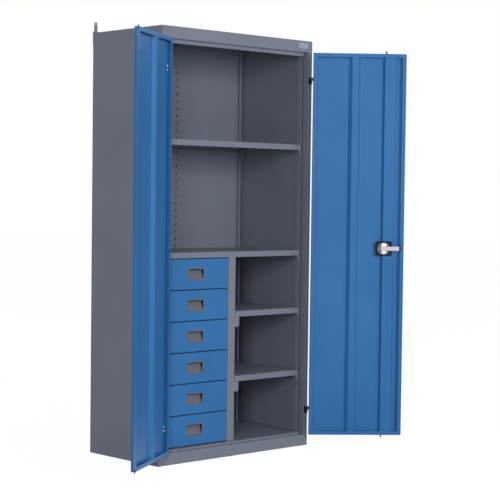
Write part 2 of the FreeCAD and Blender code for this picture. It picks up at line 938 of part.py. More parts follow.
def escutcheon():
    """Plate outside the right door, around the spindle."""
    half_x = escutcheon_width / 2
    half_z = escutcheon_height / 2
    outline = cut_corner_outline(hub_x - half_x, hub_x + half_x, hub_height - half_z, hub_height + half_z,
                                 escutcheon_cut)
    plate = prism(outline, "xz", front - escutcheon_gauge, front)
    bore = rod_along_y(hub_x, hub_height, spindle_turn_radius, front - escutcheon_gauge - overrun,
                       front + overrun)
    return plate.cut(bore)


def outside_handle():
    """Lever handle on the spindle, hanging down when the lock is shut."""
    seat = front - escutcheon_gauge - handle_gap
    face = seat - handle_height
    hub = rod_along_y(hub_x, hub_height, handle_hub_radius, face, seat)
    root = handle_root_width / 2
    end = handle_end_width / 2
    foot = hub_height - handle_length
    lever = prism([(hub_x - root, hub_height), (hub_x + root, hub_height),
                   (hub_x + end, foot + handle_cut), (hub_x + end - handle_cut, foot),
                   (hub_x - end + handle_cut, foot), (hub_x - end, foot + handle_cut)],
                  "xz", face, face + handle_lever_gauge)
    hole = square_bar(spindle_side + spindle_clearance, front - spindle_out - handle_gap, front)
    return joined([hub, lever]).cut(hole)


def meeting_strip():
    """Strip on the left door's meeting lip, joggled to lie behind the right door's lip."""
    seat_back = door_back + strip_gauge
    path = [
        (strip_overlap, strip_back),
        (0, strip_back),
        (-strip_joggle_run, seat_back),
        (-door_free_x - strip_seat, seat_back),
    ]
    return folded(path, "xy", floor_top + strip_end_gap, opening_top - fascia_lip - strip_end_gap,
                  strip_gauge, 0)


def door_bolt(side):
    """A flat bolt of the left door with a tapered tip and a thumb knob."""
    end = door_top + bolt_throw if side > 0 else door_bottom - bolt_throw
    half = bolt_width / 2
    tip = bolt_tip_width / 2
    y0 = rod_front
    y1 = rod_front + bolt_gauge
    taper = end - side * bolt_tip_taper
    inner = end - side * bolt_length
    bar = prism([(bolt_x - half, inner), (bolt_x + half, inner), (bolt_x + half, taper),
                 (bolt_x + tip, end), (bolt_x - tip, end), (bolt_x - half, taper)], "xz", y0, y1)
    knob = rod_along_y(bolt_x, inner + side * bolt_knob_inset, bolt_knob_radius, y1,
                       y1 + bolt_knob_height)
    return joined([bar, knob])


def bolt_guide(side):
    """A strap on the left door that holds a bolt to the skin."""
    inner = bolt_width / 2 + bolt_play
    outer = inner + sheet
    low = skin_back + sheet
    high = rod_front + bolt_gauge + bolt_play + sheet
    path = [
        (bolt_x + outer + guide_foot, low),
        (bolt_x + outer, low),
        (bolt_x + outer, high),
        (bolt_x - outer, high),
        (bolt_x - outer, low),
        (bolt_x - outer - guide_foot, low),
    ]
    start = door_top - guide_inset - guide_length if side > 0 else door_bottom + guide_inset
    return folded(path, "xy", start, start + guide_length, sheet, 0)


def drawer_level(row):
    """Bottom of a drawer front, counted from the floor up."""
    return floor_top + drawer_row_gap + row * (drawer_height + drawer_row_gap)


def drawer_front(row):
    """Drawer front: a pressed pan with the opening for its cup pull."""
    z0 = drawer_level(row)
    z1 = z0 + drawer_height
    skin = pan(drawer_left, drawer_right, shelf_front, drawer_front_depth, z0, z1, drawer_front_lip,
               chamfer=drawer_edge_chamfer)
    middle = (z0 + z1) / 2
    half_x = cup_width / 2 - cup_rim
    half_z = cup_height / 2 - cup_rim
    return skin.cut(block(drawer_centre - half_x, drawer_centre + half_x, shelf_front - overrun,
                          shelf_front + sheet + sheet, middle - half_z, middle + half_z))


def cup_pull(row):
    """Moulded cup pull: a rim on the front and a pocket that deepens toward its top."""
    middle = drawer_level(row) + drawer_height / 2
    half_x = cup_width / 2
    half_z = cup_height / 2
    rim_front = shelf_front - cup_proud
    outline = cut_corner_outline(drawer_centre - half_x, drawer_centre + half_x, middle - half_z,
                                 middle + half_z, cup_cut)
    rim = prism(outline, "xz", rim_front, shelf_front)
    body_x = half_x - cup_rim
    body_z = half_z - cup_rim
    deep = shelf_front + cup_depth
    knee = middle - body_z + (cup_floor_share * (body_z + body_z))
    body = prism([(shelf_front, middle - body_z), (shelf_front + cup_toe, middle - body_z),
                  (deep, knee), (deep, middle + body_z), (shelf_front, middle + body_z)],
                 "yz", drawer_centre - body_x, drawer_centre + body_x)
    low = middle - body_z + cup_wall
    high = middle + body_z - cup_wall
    pocket = prism([(rim_front - overrun, low), (shelf_front + cup_toe - cup_wall, low),
                    (deep - cup_wall, knee), (deep - cup_wall, high), (rim_front - overrun, high)],
                   "yz", drawer_centre - body_x + cup_wall, drawer_centre + body_x - cup_wall)
    return joined([rim, body]).cut(pocket)


def drawer_tray(row):
    """Drawer tray: an open box with a runner flange folded out along each side."""
    x0 = bank_left + tray_side_space
    x1 = bank_right - tray_side_space
    y0 = shelf_front + drawer_front_depth
    y1 = y0 + tray_depth
    z0 = drawer_level(row) + tray_lift
    z1 = z0 + tray_height
    box = block(x0, x1, y0, y1, z0, z1)
    box = box.cut(block(x0 + sheet, x1 - sheet, y0 + sheet, y1 - sheet, z0 + sheet, z1 + overrun))
    reach = tray_side_space - rail_gauge - rail_end_play
    z = z0 + runner_rise
    left = block(x0 - reach, x0, y0, y1, z, z + runner_gauge)
    right = block(x1, x1 + reach, y0, y1, z, z + runner_gauge)
    return joined([box, left, right])


def drawer_rail(row):
    """Left rail of a drawer: a channel that holds the runner flange."""
    low = drawer_level(row) + tray_lift + runner_rise - rail_play - rail_gauge
    high = low + rail_height
    path = [(bank_left + rail_depth, high), (bank_left, high), (bank_left, low),
            (bank_left + rail_depth, low)]
    y0 = shelf_front + rail_setback
    return folded(path, "xz", y0, y0 + rail_length, rail_gauge, 0)


def drawer_rails():
    """Left and right rails of every drawer."""
    rails = []
    for row in range(drawer_count):
        rail = drawer_rail(row)
        rails.append(rail)
        rails.append(mirrored(rail, rail_centre))
    return Part.makeCompound(rails)


def build_carcass():
    """Writes the fixed pieces."""
    side = side_panel()
    save("right_side_panel", side)
    save("left_side_panel", mirrored(side))
    save("back_panel", block(-half_width, half_width, back - sheet, back, 0, cabinet_height))
    save("top_panel", top_panel())
    save("top_fascia", top_fascia())
    save("floor_panel", floor_panel())
    save("plinth", plinth())
    post = rear_upright()
    save("rear_upright_right", post)
    save("rear_upright_left", mirrored(post))
    save("rear_upright_centre", centre_upright())
    post = front_upright()
    save("front_upright_right", post)
    save("front_upright_left", mirrored(post))
    save("partition", partition())
    save("drawer_bank_side", bank_side())
    save("upper_shelf", shelf(-shelf_end_x, shelf_end_x, upper_shelf_top))
    save("middle_shelf", shelf(-shelf_end_x, shelf_end_x, middle_shelf_top))
    right_start = partition_width / 2 + shelf_end_gap
    save("right_upper_shelf", shelf(right_start, shelf_end_x, right_upper_shelf_top))
    save("right_lower_shelf", shelf(right_start, shelf_end_x, right_lower_shelf_top))
    save("wall_brackets", wall_brackets())
    save("partition_brackets", partition_brackets())
    save("drawer_rails", drawer_rails())
    lug = wall_lug()
    save("wall_lugs", Part.makeCompound([lug, mirrored(lug)]))
    leaves = [hinge_frame_leaf(level) for level in hinge_levels()]
    save("hinge_frame_leaves", Part.makeCompound(leaves + [mirrored(leaf) for leaf in leaves]))


def build_left_door():
    """Writes the left door, swung open."""
    save("left_door_pan", swung(left_door_pan(), -1))
    save("left_door_stiffener", swung(mirrored(door_stiffener()), -1))
    save("left_meeting_strip", swung(meeting_strip(), -1))
    leaves = [swung(mirrored(hinge_door_leaf(level)), -1) for level in hinge_levels()]
    save("left_hinge_leaves", Part.makeCompound(leaves))
    save("left_bolt_guides", Part.makeCompound([swung(bolt_guide(side), -1) for side in (-1, 1)]))
    save("left_top_bolt", swung(door_bolt(1), -1))
    save("left_bottom_bolt", swung(door_bolt(-1), -1))


def build_right_door():
    """Writes the right door and its lock, swung open."""
    save("right_door_pan", swung(right_door_pan(), 1))
    save("right_door_stiffener", swung(door_stiffener(), 1))
    save("right_lock_channel", swung(lock_channel(), 1))
    leaves = [swung(hinge_door_leaf(level), 1) for level in hinge_levels()]
    save("right_hinge_leaves", Part.makeCompound(leaves))
    save("lock_housing", swung(lock_housing(), 1))
    save("handle_escutcheon", swung(escutcheon(), 1))
    save("lock_crank", swung(lock_crank(), 1))
    save("lock_tongue", swung(lock_tongue(), 1))
    save("outside_handle", swung(outside_handle(), 1))
    save("upper_rod", swung(rod(1, door_top + rod_top_throw), 1))
    save("lower_rod", swung(rod(-1, door_bottom - rod_bottom_throw), 1))


def build_drawers():
    """Writes the six drawers, numbered from the top down."""
    for row in range(drawer_count):
        name = "drawer_" + str(drawer_count - row)
        save(name + "_front", drawer_front(row))
        save(name + "_tray", drawer_tray(row))
        save(name + "_pull", cup_pull(row))


os.makedirs("parts", exist_ok=True)
build_carcass()
build_left_door()
build_right_door()
build_drawers()
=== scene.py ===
"""Looks of a two-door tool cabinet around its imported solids, in metres, +Z up.

The solids give the folded sheets, the doors, the drawers and the lock. This script paints
them and adds the doors' stiffeners, the slotted rear upright, the moulded cup pulls, the
screws and bolts, the lock's small trim and the outside lever. It then sets the studio:
floor, lamps and camera.
"""

import json
import logging
import math
from dataclasses import dataclass, field
from enum import Enum
from typing import Any

import bpy
import numpy as np
from mathutils import Matrix, Vector


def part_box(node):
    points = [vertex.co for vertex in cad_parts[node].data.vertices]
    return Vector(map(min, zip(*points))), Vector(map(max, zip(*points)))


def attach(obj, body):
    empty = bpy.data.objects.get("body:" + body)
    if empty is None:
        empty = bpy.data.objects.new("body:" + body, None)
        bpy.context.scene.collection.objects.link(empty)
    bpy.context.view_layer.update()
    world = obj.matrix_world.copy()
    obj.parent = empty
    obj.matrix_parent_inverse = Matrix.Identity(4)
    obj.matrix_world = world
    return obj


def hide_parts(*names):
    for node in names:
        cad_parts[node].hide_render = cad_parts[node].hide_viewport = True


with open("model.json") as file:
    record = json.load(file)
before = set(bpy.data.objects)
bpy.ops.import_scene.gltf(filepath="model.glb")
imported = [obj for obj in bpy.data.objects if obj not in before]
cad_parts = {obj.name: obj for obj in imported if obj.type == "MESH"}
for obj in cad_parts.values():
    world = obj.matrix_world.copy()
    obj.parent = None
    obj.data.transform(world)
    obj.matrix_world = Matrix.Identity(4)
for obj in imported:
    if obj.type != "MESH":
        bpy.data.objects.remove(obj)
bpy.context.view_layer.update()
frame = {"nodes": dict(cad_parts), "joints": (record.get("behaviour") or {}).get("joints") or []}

log = logging.getLogger("cabinet")
Pair = tuple[float, float]
Triple = tuple[float, float, float]
Row = tuple[float, ...]
Colour = Triple

UP = np.array([0.0, 0.0, 1.0])
FORWARD = np.array([0.0, -1.0, 0.0])
BACKWARD = np.array([0.0, 1.0, 0.0])
FULL_TURN = 2 * math.pi
QUARTER_TURN = math.pi / 2


def paint(red: int, green: int, blue: int) -> Colour:
    """A screen colour, 0 to 255 a channel, as linear light.

    Args:
        red, green, blue: the channels as they show on a screen.
    Returns:
        The same colour as linear values.
    """
    toe, toe_slope, offset, power = 0.04045, 12.92, 0.055, 2.4
    share = np.array([red, green, blue]) / 255.0
    curve = ((share + offset) / (1.0 + offset)) ** power
    return tuple(float(v) for v in np.where(share <= toe, share / toe_slope, curve))


class Side(Enum):
    """Which door; the value is the sign of its X when shut."""

    LEFT = -1
    RIGHT = 1


class Drive(Enum):
    """The form of a fastener's head."""

    CROSS = "cross"
    HEXAGON = "hexagon"
    ROUND = "round"


# Shader graphs


class Value:
    """A socket that takes part in Python arithmetic; each operator adds a Math node."""

    def __init__(self, graph: "Graph", socket: bpy.types.NodeSocket) -> None:
        """Keeps the socket and the graph that it belongs to."""
        self.graph = graph
        self.socket = socket

    def _math(self, operation: str, first: Any, second: Any) -> "Value":
        """One Math node on two operands."""
        return self.graph.node("ShaderNodeMath", {"operation": operation}, {0: first, 1: second})

    def __add__(self, other: Any) -> "Value":
        """Sum."""
        return self._math("ADD", self, other)

    def __radd__(self, other: Any) -> "Value":
        """Sum, reflected."""
        return self._math("ADD", other, self)

    def __sub__(self, other: Any) -> "Value":
        """Difference."""
        return self._math("SUBTRACT", self, other)

    def __rsub__(self, other: Any) -> "Value":
        """Difference, reflected."""
        return self._math("SUBTRACT", other, self)

    def __mul__(self, other: Any) -> "Value":
        """Product."""
        return self._math("MULTIPLY", self, other)

    def __rmul__(self, other: Any) -> "Value":
        """Product, reflected."""
        return self._math("MULTIPLY", other, self)

    def most(self, other: Any) -> "Value":
        """The larger of two values."""
        return self._math("MAXIMUM", self, other)

    def ramp(self, low: float, high: float) -> "Value":
        """A smooth step: 0 below low, 1 above high."""
        sockets = {"Value": self, "From Min": low, "From Max": high}
        return self.graph.node("ShaderNodeMapRange", {"interpolation_type": "SMOOTHSTEP"}, sockets)


class Graph:
    """The node tree of one material or of the surroundings, filled through one method."""

    def __init__(self, owner: Any) -> None:
        """Empties a tree.

        Args:
            owner: the material or world whose tree it is.
        """
        self.owner = owner
        owner.use_nodes = True
        self.tree = owner.node_tree
        self.tree.nodes.clear()

    def node(self, kind: str, settings: dict[str, Any], sockets: dict[Any, Any],
             output: Any = 0) -> Value:
        """Adds a node.

        Args:
            kind: the node's type.
            settings: its attributes, set first.
            sockets: values or links by input name or number.
            output: the output that is handed back; an end node has none.
        Returns:
            That output as a Value.
        """
        made = self.tree.nodes.new(kind)
        for key, value in settings.items():
            setattr(made, key, value)
        for key, value in sockets.items():
            self.link(made.inputs[key], value)
        return Value(self, made.outputs[output] if made.outputs else None)

    def link(self, target: bpy.types.NodeSocket, value: Any) -> None:
        """Fills a socket.

        Args:
            target: the input socket.
            value: a Value to link, or a constant or colour to set.
        """
        if isinstance(value, Value):
            self.tree.links.new(value.socket, target)
        elif target.type == "RGBA":
            target.default_value = (*value, 1.0)
        else:
            target.default_value = value

    def place(self) -> Value:
        """The point on the surface, in the object's own metres."""
        return self.node("ShaderNodeTexCoord", {}, {}, "Object")

    def stretched(self, scale: Triple) -> Value:
        """The point on the surface, scaled along each axis."""
        return self.node("ShaderNodeMapping", {}, {"Vector": self.place(), "Scale": scale})

    def cloud(self, scale: float, detail: float, point: Value | None = None,
              rough: float = 0.55) -> Value:
        """Soft noise from 0 to 1.

        Args:
            scale: waves per metre.
            detail: how many finer octaves are added.
            point: where it is read, or the plain surface point.
            rough: how strong each finer octave is.
        Returns:
            The noise.
        """
        point = point or self.place()
        sockets = {"Vector": point, "Scale": scale, "Detail": detail, "Roughness": rough}
        return self.node("ShaderNodeTexNoise", {}, sockets)

    def mix(self, share: Any, first: Any, second: Any) -> Value:
        """A colour between two; inputs 6 and 7 and output 2 are the node's colour sockets."""
        sockets = {0: share, 6: first, 7: second}
        return self.node("ShaderNodeMix", {"data_type": "RGBA"}, sockets, 2)

    def bump(self, height: Value, depth: float, strength: float) -> Value:
        """A normal from a height field, depth in metres."""
        sockets = {"Height": height, "Distance": depth, "Strength": strength}
        return self.node("ShaderNodeBump", {}, sockets)

    def seen(self) -> Value:
        """One where the camera, a gloss or a clear surface looks, zero for the object's light.

        Returns:
            The larger of the three kinds of ray.
        """
        names = ("Is Camera Ray", "Is Glossy Ray", "Is Transmission Ray")
        camera, gloss, clear = (self.node("ShaderNodeLightPath", {}, {}, name) for name in names)
        return camera.most(gloss).most(clear)

    def finish(self, sockets: dict[str, Any]) -> bpy.types.Material:
        """Ends the tree on a Principled shader.

        Args:
            sockets: constants or Values by the shader's input names.
        Returns:
            The material.
        """
        shader = self.node("ShaderNodeBsdfPrincipled", {}, sockets)
        self.node("ShaderNodeOutputMaterial", {}, {"Surface": shader})
        return self.owner


# Finishes


@dataclass(frozen=True)
class PowderCoat:
    """Baked powder paint: clouds of tone, fine speckle and a low orange peel."""

    name: str
    colour: Colour
    shade: Colour
    speck: Colour
    roughness: float = 0.42
    gloss: float = 0.25
    cloud_scale: float = 2.2
    cloud_edges: Pair = (0.3, 0.7)
    smear_scale: float = 14.0
    smear_share: float = 0.1
    speck_scale: float = 1400.0
    speck_edges: Pair = (0.55, 0.8)
    speck_share: float = 0.35
    peel_scale: float = 420.0
    peel_depth: float = 0.00005
    peel_strength: float = 0.6

    def material(self) -> bpy.types.Material:
        """Builds the paint.

        Returns:
            The material.
        """
        graph = Graph(bpy.data.materials.new(self.name))
        cloud = graph.cloud(self.cloud_scale, detail=3.0)
        speck = graph.cloud(self.speck_scale, detail=1.0)
        smear = graph.cloud(self.smear_scale, detail=2.0)
        peel = graph.cloud(self.peel_scale, detail=1.0)
        tone = graph.mix(cloud.ramp(*self.cloud_edges), self.colour, self.shade)
        specks = speck.ramp(*self.speck_edges) * self.speck_share
        return graph.finish({
            "Base Color": graph.mix(specks, tone, self.speck),
            "Roughness": self.roughness - self.smear_share / 2 + self.smear_share * smear,
            "Normal": graph.bump(peel, self.peel_depth, self.peel_strength),
            "Specular IOR Level": self.gloss,
        })


@dataclass(frozen=True)
class BrightMetal:
    """Plated metal: faint drawn lines, small smears in the gloss."""

    name: str
    colour: Colour
    dull: Colour
    roughness: float
    line_scale: Triple = (900.0, 900.0, 60.0)
    line_depth: float = 0.00002
    line_strength: float = 0.5
    line_gloss: float = 0.06
    smear_scale: float = 60.0
    smear_edges: Pair = (0.35, 0.75)
    worn_edges: Pair = (0.4, 0.8)
    worn_gloss: float = 0.16

    def material(self) -> bpy.types.Material:
        """Builds the plating.

        Returns:
            The material.
        """
        graph = Graph(bpy.data.materials.new(self.name))
        lines = graph.cloud(1.0, detail=2.0, point=graph.stretched(self.line_scale))
        smear = graph.cloud(self.smear_scale, detail=3.0)
        worn = self.worn_gloss * smear.ramp(*self.worn_edges)
        return graph.finish({
            "Base Color": graph.mix(smear.ramp(*self.smear_edges), self.colour, self.dull),
            "Metallic": 1.0,
            "Roughness": self.roughness + worn + self.line_gloss * lines,
            "Normal": graph.bump(lines, self.line_depth, self.line_strength),
        })


@dataclass(frozen=True)
class ZincSteel:
    """Zinc-plated steel: a spangle of flat crystals with slightly different greys."""

    name: str
    colour: Colour
    dull: Colour
    roughness: float = 0.38
    spangle_scale: float = 130.0
    spangle_share: float = 0.7
    spangle_gloss: float = 0.2
    scuff_scale: float = 220.0
    scuff_gloss: float = 0.08
    scuff_depth: float = 0.00003
    scuff_strength: float = 0.5

    def material(self) -> bpy.types.Material:
        """Builds the plating.

        Returns:
            The material.
        """
        graph = Graph(bpy.data.materials.new(self.name))
        sockets = {"Vector": graph.place(), "Scale": self.spangle_scale, "Randomness": 1.0}
        crystal = graph.node("ShaderNodeTexVoronoi", {}, sockets, "Color")
        tint = graph.node("ShaderNodeSeparateColor", {}, {"Color": crystal}, "Red")
        scuff = graph.cloud(self.scuff_scale, detail=3.0)
        share = tint * self.spangle_share + scuff * (1.0 - self.spangle_share)
        gloss = self.roughness - self.scuff_gloss + self.spangle_gloss * tint
        return graph.finish({
            "Base Color": graph.mix(share, self.colour, self.dull),
            "Metallic": 1.0,
            "Roughness": gloss + self.scuff_gloss * scuff,
            "Normal": graph.bump(scuff, self.scuff_depth, self.scuff_strength),
        })


@dataclass(frozen=True)
class MouldedPlastic:
    """Moulded plastic: a fine spark-eroded grain and soft rubbed patches."""

    name: str
    colour: Colour
    rubbed: Colour
    roughness: float = 0.5
    gloss: float = 0.4
    rub_scale: float = 26.0
    rub_edges: Pair = (0.35, 0.75)
    rub_share: float = 0.8
    rub_gloss: float = 0.16
    grain_scale: float = 1500.0
    grain_depth: float = 0.00006
    grain_strength: float = 0.7

    def material(self) -> bpy.types.Material:
        """Builds the plastic.

        Returns:
            The material.
        """
        graph = Graph(bpy.data.materials.new(self.name))
        grain = graph.cloud(self.grain_scale, detail=2.0)
        rub = graph.cloud(self.rub_scale, detail=3.0)
        share = rub.ramp(*self.rub_edges) * self.rub_share + grain * (1.0 - self.rub_share)
        return graph.finish({
            "Base Color": graph.mix(share, self.colour, self.rubbed),
            "Roughness": self.roughness - self.rub_gloss / 2 + self.rub_gloss * rub,
            "Normal": graph.bump(grain, self.grain_depth, self.grain_strength),
            "Specular IOR Level": self.gloss,
        })


@dataclass(frozen=True)
class LockCase:
    """Black lock case whose round well shows a dull grey floor around the crank."""

    name: str
    colour: Colour
    well: Colour
    worn: Colour
    centre: Triple
    radius: float
    rim: float = 0.0012
    roughness: float = 0.38
    gloss: float = 0.15
    well_metal: float = 0.35
    rub_scale: float = 90.0
    rub_edges: Pair = (0.35, 0.7)
    rub_gloss: float = 0.15
    grain_scale: float = 1300.0
    grain_gloss: float = 0.1
    grain_depth: float = 0.00006
    grain_strength: float = 0.6

    def material(self) -> bpy.types.Material:
        """Builds the case's plastic; the well is a smooth step on the distance to its centre.

        Returns:
            The material.
        """
        graph = Graph(bpy.data.materials.new(self.name))
        ends = {0: graph.place(), 1: self.centre}
        gap = graph.node("ShaderNodeVectorMath", {"operation": "DISTANCE"}, ends, "Value")
        inside = 1.0 - gap.ramp(self.radius - self.rim, self.radius)
        grain = graph.cloud(self.grain_scale, detail=2.0)
        rub = graph.cloud(self.rub_scale, detail=3.0)
        floor = graph.mix(rub.ramp(*self.rub_edges), self.well, self.worn)
        return graph.finish({
            "Base Color": graph.mix(inside, self.colour, floor),
            "Roughness": self.roughness + self.rub_gloss * rub + self.grain_gloss * grain,
            "Metallic": inside * self.well_metal,
            "Normal": graph.bump(grain, self.grain_depth, self.grain_strength),
            "Specular IOR Level": self.gloss,
        })


@dataclass
class Palette:
    """Every finish of the cabinet, built once."""

    well_radius: float = 0.0305
    finishes: dict[str, bpy.types.Material] = field(default_factory=dict)

    def fill(self, lock_centre: Triple) -> None:
        """Builds the materials.

        Args:
            lock_centre: middle of the lock's well, in metres.
        """
        kinds = [
            PowderCoat("grey_powder_coat", paint(119, 124, 138), paint(114, 119, 133),
                       paint(133, 138, 150)),
            PowderCoat("blue_powder_coat", paint(47, 111, 170), paint(42, 104, 162),
                       paint(60, 126, 184), roughness=0.38),
            PowderCoat("black_hinge_paint", paint(24, 24, 28), paint(19, 19, 23),
                       paint(40, 40, 45), roughness=0.45),
            MouldedPlastic("cup_pull_plastic", paint(97, 98, 109), paint(90, 91, 101)),
            # painted shade: a dark matt colour on the pocket's wall and upper floor strip, standing
            # in for the shade inside a deeper pocket
            MouldedPlastic("painted_pocket_shade", paint(34, 34, 42), paint(26, 26, 33),
                           roughness=0.6, gloss=0.1),
            MouldedPlastic("black_lock_plastic", paint(14, 14, 18), paint(22, 22, 26),
                           roughness=0.42, gloss=0.15),
            BrightMetal("lock_chrome", (0.54, 0.54, 0.59), (0.36, 0.36, 0.41), roughness=0.22),
            BrightMetal("blank_plate_alloy", paint(150, 158, 174), paint(138, 146, 163),
                        roughness=0.42, line_scale=(60.0, 900.0, 900.0)),
            ZincSteel("zinc_steel", (0.66, 0.67, 0.69), (0.46, 0.47, 0.49)),
            ZincSteel("bright_screw_zinc", (0.92, 0.92, 0.93), (0.78, 0.79, 0.81), roughness=0.30),
            ZincSteel("guide_ring_steel", (0.17, 0.17, 0.19), (0.08, 0.08, 0.09),
                      roughness=0.45, spangle_scale=420.0),
            ZincSteel("dark_rod_steel", (0.10, 0.11, 0.13), (0.06, 0.065, 0.08), roughness=0.5),
            LockCase("lock_case", paint(17, 17, 21), paint(88, 85, 92), paint(120, 116, 124),
                     lock_centre, self.well_radius),
        ]
        for kind in kinds:
            self.finishes[kind.name] = kind.material()

    def dress(self, nodes: tuple[str, ...], finish: str) -> None:
        """Puts a finish on solids that stay as they are.

        Args:
            nodes: the solids' names.
            finish: the finish's name.
        """
        for node in nodes:
            solid = frame["nodes"][node]
            for slot in solid.material_slots:
                slot.material = self.finishes[finish]
            log.info("dressed %s in %s", node, finish)


# Surfaces


def rounded_outline(half_x: float, half_z: float, radius: float, quarter: int) -> np.ndarray:
    """Points around a rectangle with round corners.

    Each quarter turn adds an arc about its own corner's centre; the straight sides lie
    between one arc's last point and the next one's first.

    Args:
        half_x, half_z: half sizes.
        radius: corner radius.
        quarter: points in one arc.
    Returns:
        An array of 4 * quarter points (x, z), counter-clockwise.
    """
    start = np.arange(4) * QUARTER_TURN
    turn = start[:, None] + np.linspace(0.0, QUARTER_TURN, quarter)[None, :]
    middle = (np.arange(4) + 0.5) * QUARTER_TURN
    centre_x = np.sign(np.cos(middle))[:, None] * (half_x - radius)
    centre_z = np.sign(np.sin(middle))[:, None] * (half_z - radius)
    x, z = centre_x + radius * np.cos(turn), centre_z + radius * np.sin(turn)
    return np.stack([x, z], -1).reshape(-1, 2)


def inset_outlines(half: Pair, corner: float, insets: Row, quarter: int,
                   draw: float = 1.0, least: float = 0.0006) -> np.ndarray:
    """Rounded outlines, each inside the first by its inset.

    An inset is taken off both half sizes, and a share of it off the corner's radius.

    Args:
        half: half sizes of the first outline.
        corner: its corner radius.
        insets: one distance for each outline.
        quarter: points in one corner's arc.
        draw: the share of an inset that the radius loses.
        least: the smallest radius.
    Returns:
        Points, outlines x columns x 2.
    """
    return np.stack([
        rounded_outline(half[0] - cut, half[1] - cut, max(corner - draw * cut, least), quarter)
        for cut in insets
    ])


def round_outline(count: int) -> np.ndarray:
    """Points around a circle of radius 1, counter-clockwise."""
    turn = np.arange(count) * (FULL_TURN / count)
    return np.stack([np.cos(turn), np.sin(turn)], -1)


def bent_sheet(corners: np.ndarray, radius: float, gauge: float, arc: int = 7) -> np.ndarray:
    """Outline of a folded sheet's edge.

    The middle line runs straight between the corners and rounds each inner one by an arc,
    drawn as a quadratic curve from one straight to the next. Half the gauge is laid to
    either side along the line's normal.

    Args:
        corners: corner points of the middle line, count x 2.
        radius: length of each straight that a bend takes up.
        gauge: thickness of the sheet.
        arc: points in one bend.
    Returns:
        The closed outline, points x 2.
    """
    before, here, after = corners[:-2, None], corners[1:-1, None], corners[2:, None]
    back = (before - here) / np.linalg.norm(before - here, axis=-1, keepdims=True) * radius
    ahead = (after - here) / np.linalg.norm(after - here, axis=-1, keepdims=True) * radius
    share = np.linspace(0.0, 1.0, arc)[None, :, None]
    bends = here + back * (1.0 - share) ** 2 + ahead * share ** 2
    line = np.concatenate([corners[:1], bends.reshape(-1, 2), corners[-1:]])
    way = np.gradient(line, axis=0)
    normal = np.stack([-way[:, 1], way[:, 0]], -1) / np.linalg.norm(way, axis=-1, keepdims=True)
    side = normal * (gauge / 2)
    return np.concatenate([line + side, (line - side)[::-1]])


def shell_faces(rows: int, columns: int, ring: bool) -> list[list[int]]:
    """Quads of a grid that closes around its columns.

    A ring closes around its rows too; any other shell has a cap on its first and last row.

    Args:
        rows, columns: the grid's size.
        ring: whether the last row joins the first.
    Returns:
        Faces as lists of vertex numbers.
    """
    bands = rows if ring else rows - 1
    row, column = np.meshgrid(np.arange(bands), np.arange(columns), indexing="ij")
    after = (column + 1) % columns
    low, high = row * columns, (row + 1) % rows * columns
    quads = np.stack([low + column, low + after, high + after, high + column], -1)
    faces = quads.reshape(-1, 4).tolist()
    if ring:
        return faces
    first = np.arange(columns)[::-1]
    last = (rows - 1) * columns + np.arange(columns)
    return [*faces, first.tolist(), last.tolist()]


@dataclass
class Piece:
    """One new object: closed shells, a body that it rides on, and its finish."""

    name: str
    body: str
    slot: str
    finish: str
    replaces: str = ""
    sharp: float = 38.0
    ring: bool = False
    second_finish: str = ""
    second_faces: np.ndarray | None = None
    shells: list[np.ndarray] = field(default_factory=list)

    def add(self, points: np.ndarray) -> "Piece":
        """Adds a closed shell, a grid of rows x columns points."""
        self.shells.append(points)
        return self

    def mesh(self) -> bpy.types.Mesh:
        """Joins the shells, the faces of each turned outward.

        A shell whose signed volume is negative has its faces reversed.

        Returns:
            The mesh, smooth but for its sharp edges.
        """
        points: list[np.ndarray] = []
        faces: list[list[int]] = []
        start = 0
        for shell in self.shells:
            flat = shell.reshape(-1, 3)
            made = shell_faces(*shell.shape[:2], self.ring)
            quads = np.array([face for face in made if len(face) == 4])
            corner = flat[quads] - flat.mean(0)
            volume = np.einsum("ij,ij->", corner[:, 0], np.cross(corner[:, 1], corner[:, 2]))
            volume += np.einsum("ij,ij->", corner[:, 0], np.cross(corner[:, 2], corner[:, 3]))
            order = -1 if volume < 0 else 1
            faces += [(start + np.array(face[::order])).tolist() for face in made]
            points.append(flat)
            start += len(flat)
        mesh = bpy.data.meshes.new(self.name)
        mesh.from_pydata(np.concatenate(points).tolist(), [], faces)
        mesh.validate()
        mesh.shade_smooth()
        mesh.set_sharp_from_angle(angle=math.radians(self.sharp))
        return mesh

    def build(self, palette: Palette) -> None:
        """Makes the object at the origin, gives it its finish and puts it on its body.

        Args:
            palette: where the finish comes from.
        """
        mesh = self.mesh()
        mesh.materials.append(palette.finishes[self.finish])
        if self.second_finish:
            mesh.materials.append(palette.finishes[self.second_finish])
            numbers = np.zeros(len(mesh.polygons), dtype=np.int32)
            numbers[self.second_faces] = 1
            mesh.polygons.foreach_set("material_index", numbers)
        made = bpy.data.objects.new(self.name, mesh)
        bpy.context.scene.collection.objects.link(made)
        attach(made, self.body)
        if self.replaces:
            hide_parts(self.replaces)
        log.info("made %s on %s: %d faces", self.name, self.body, len(mesh.polygons))


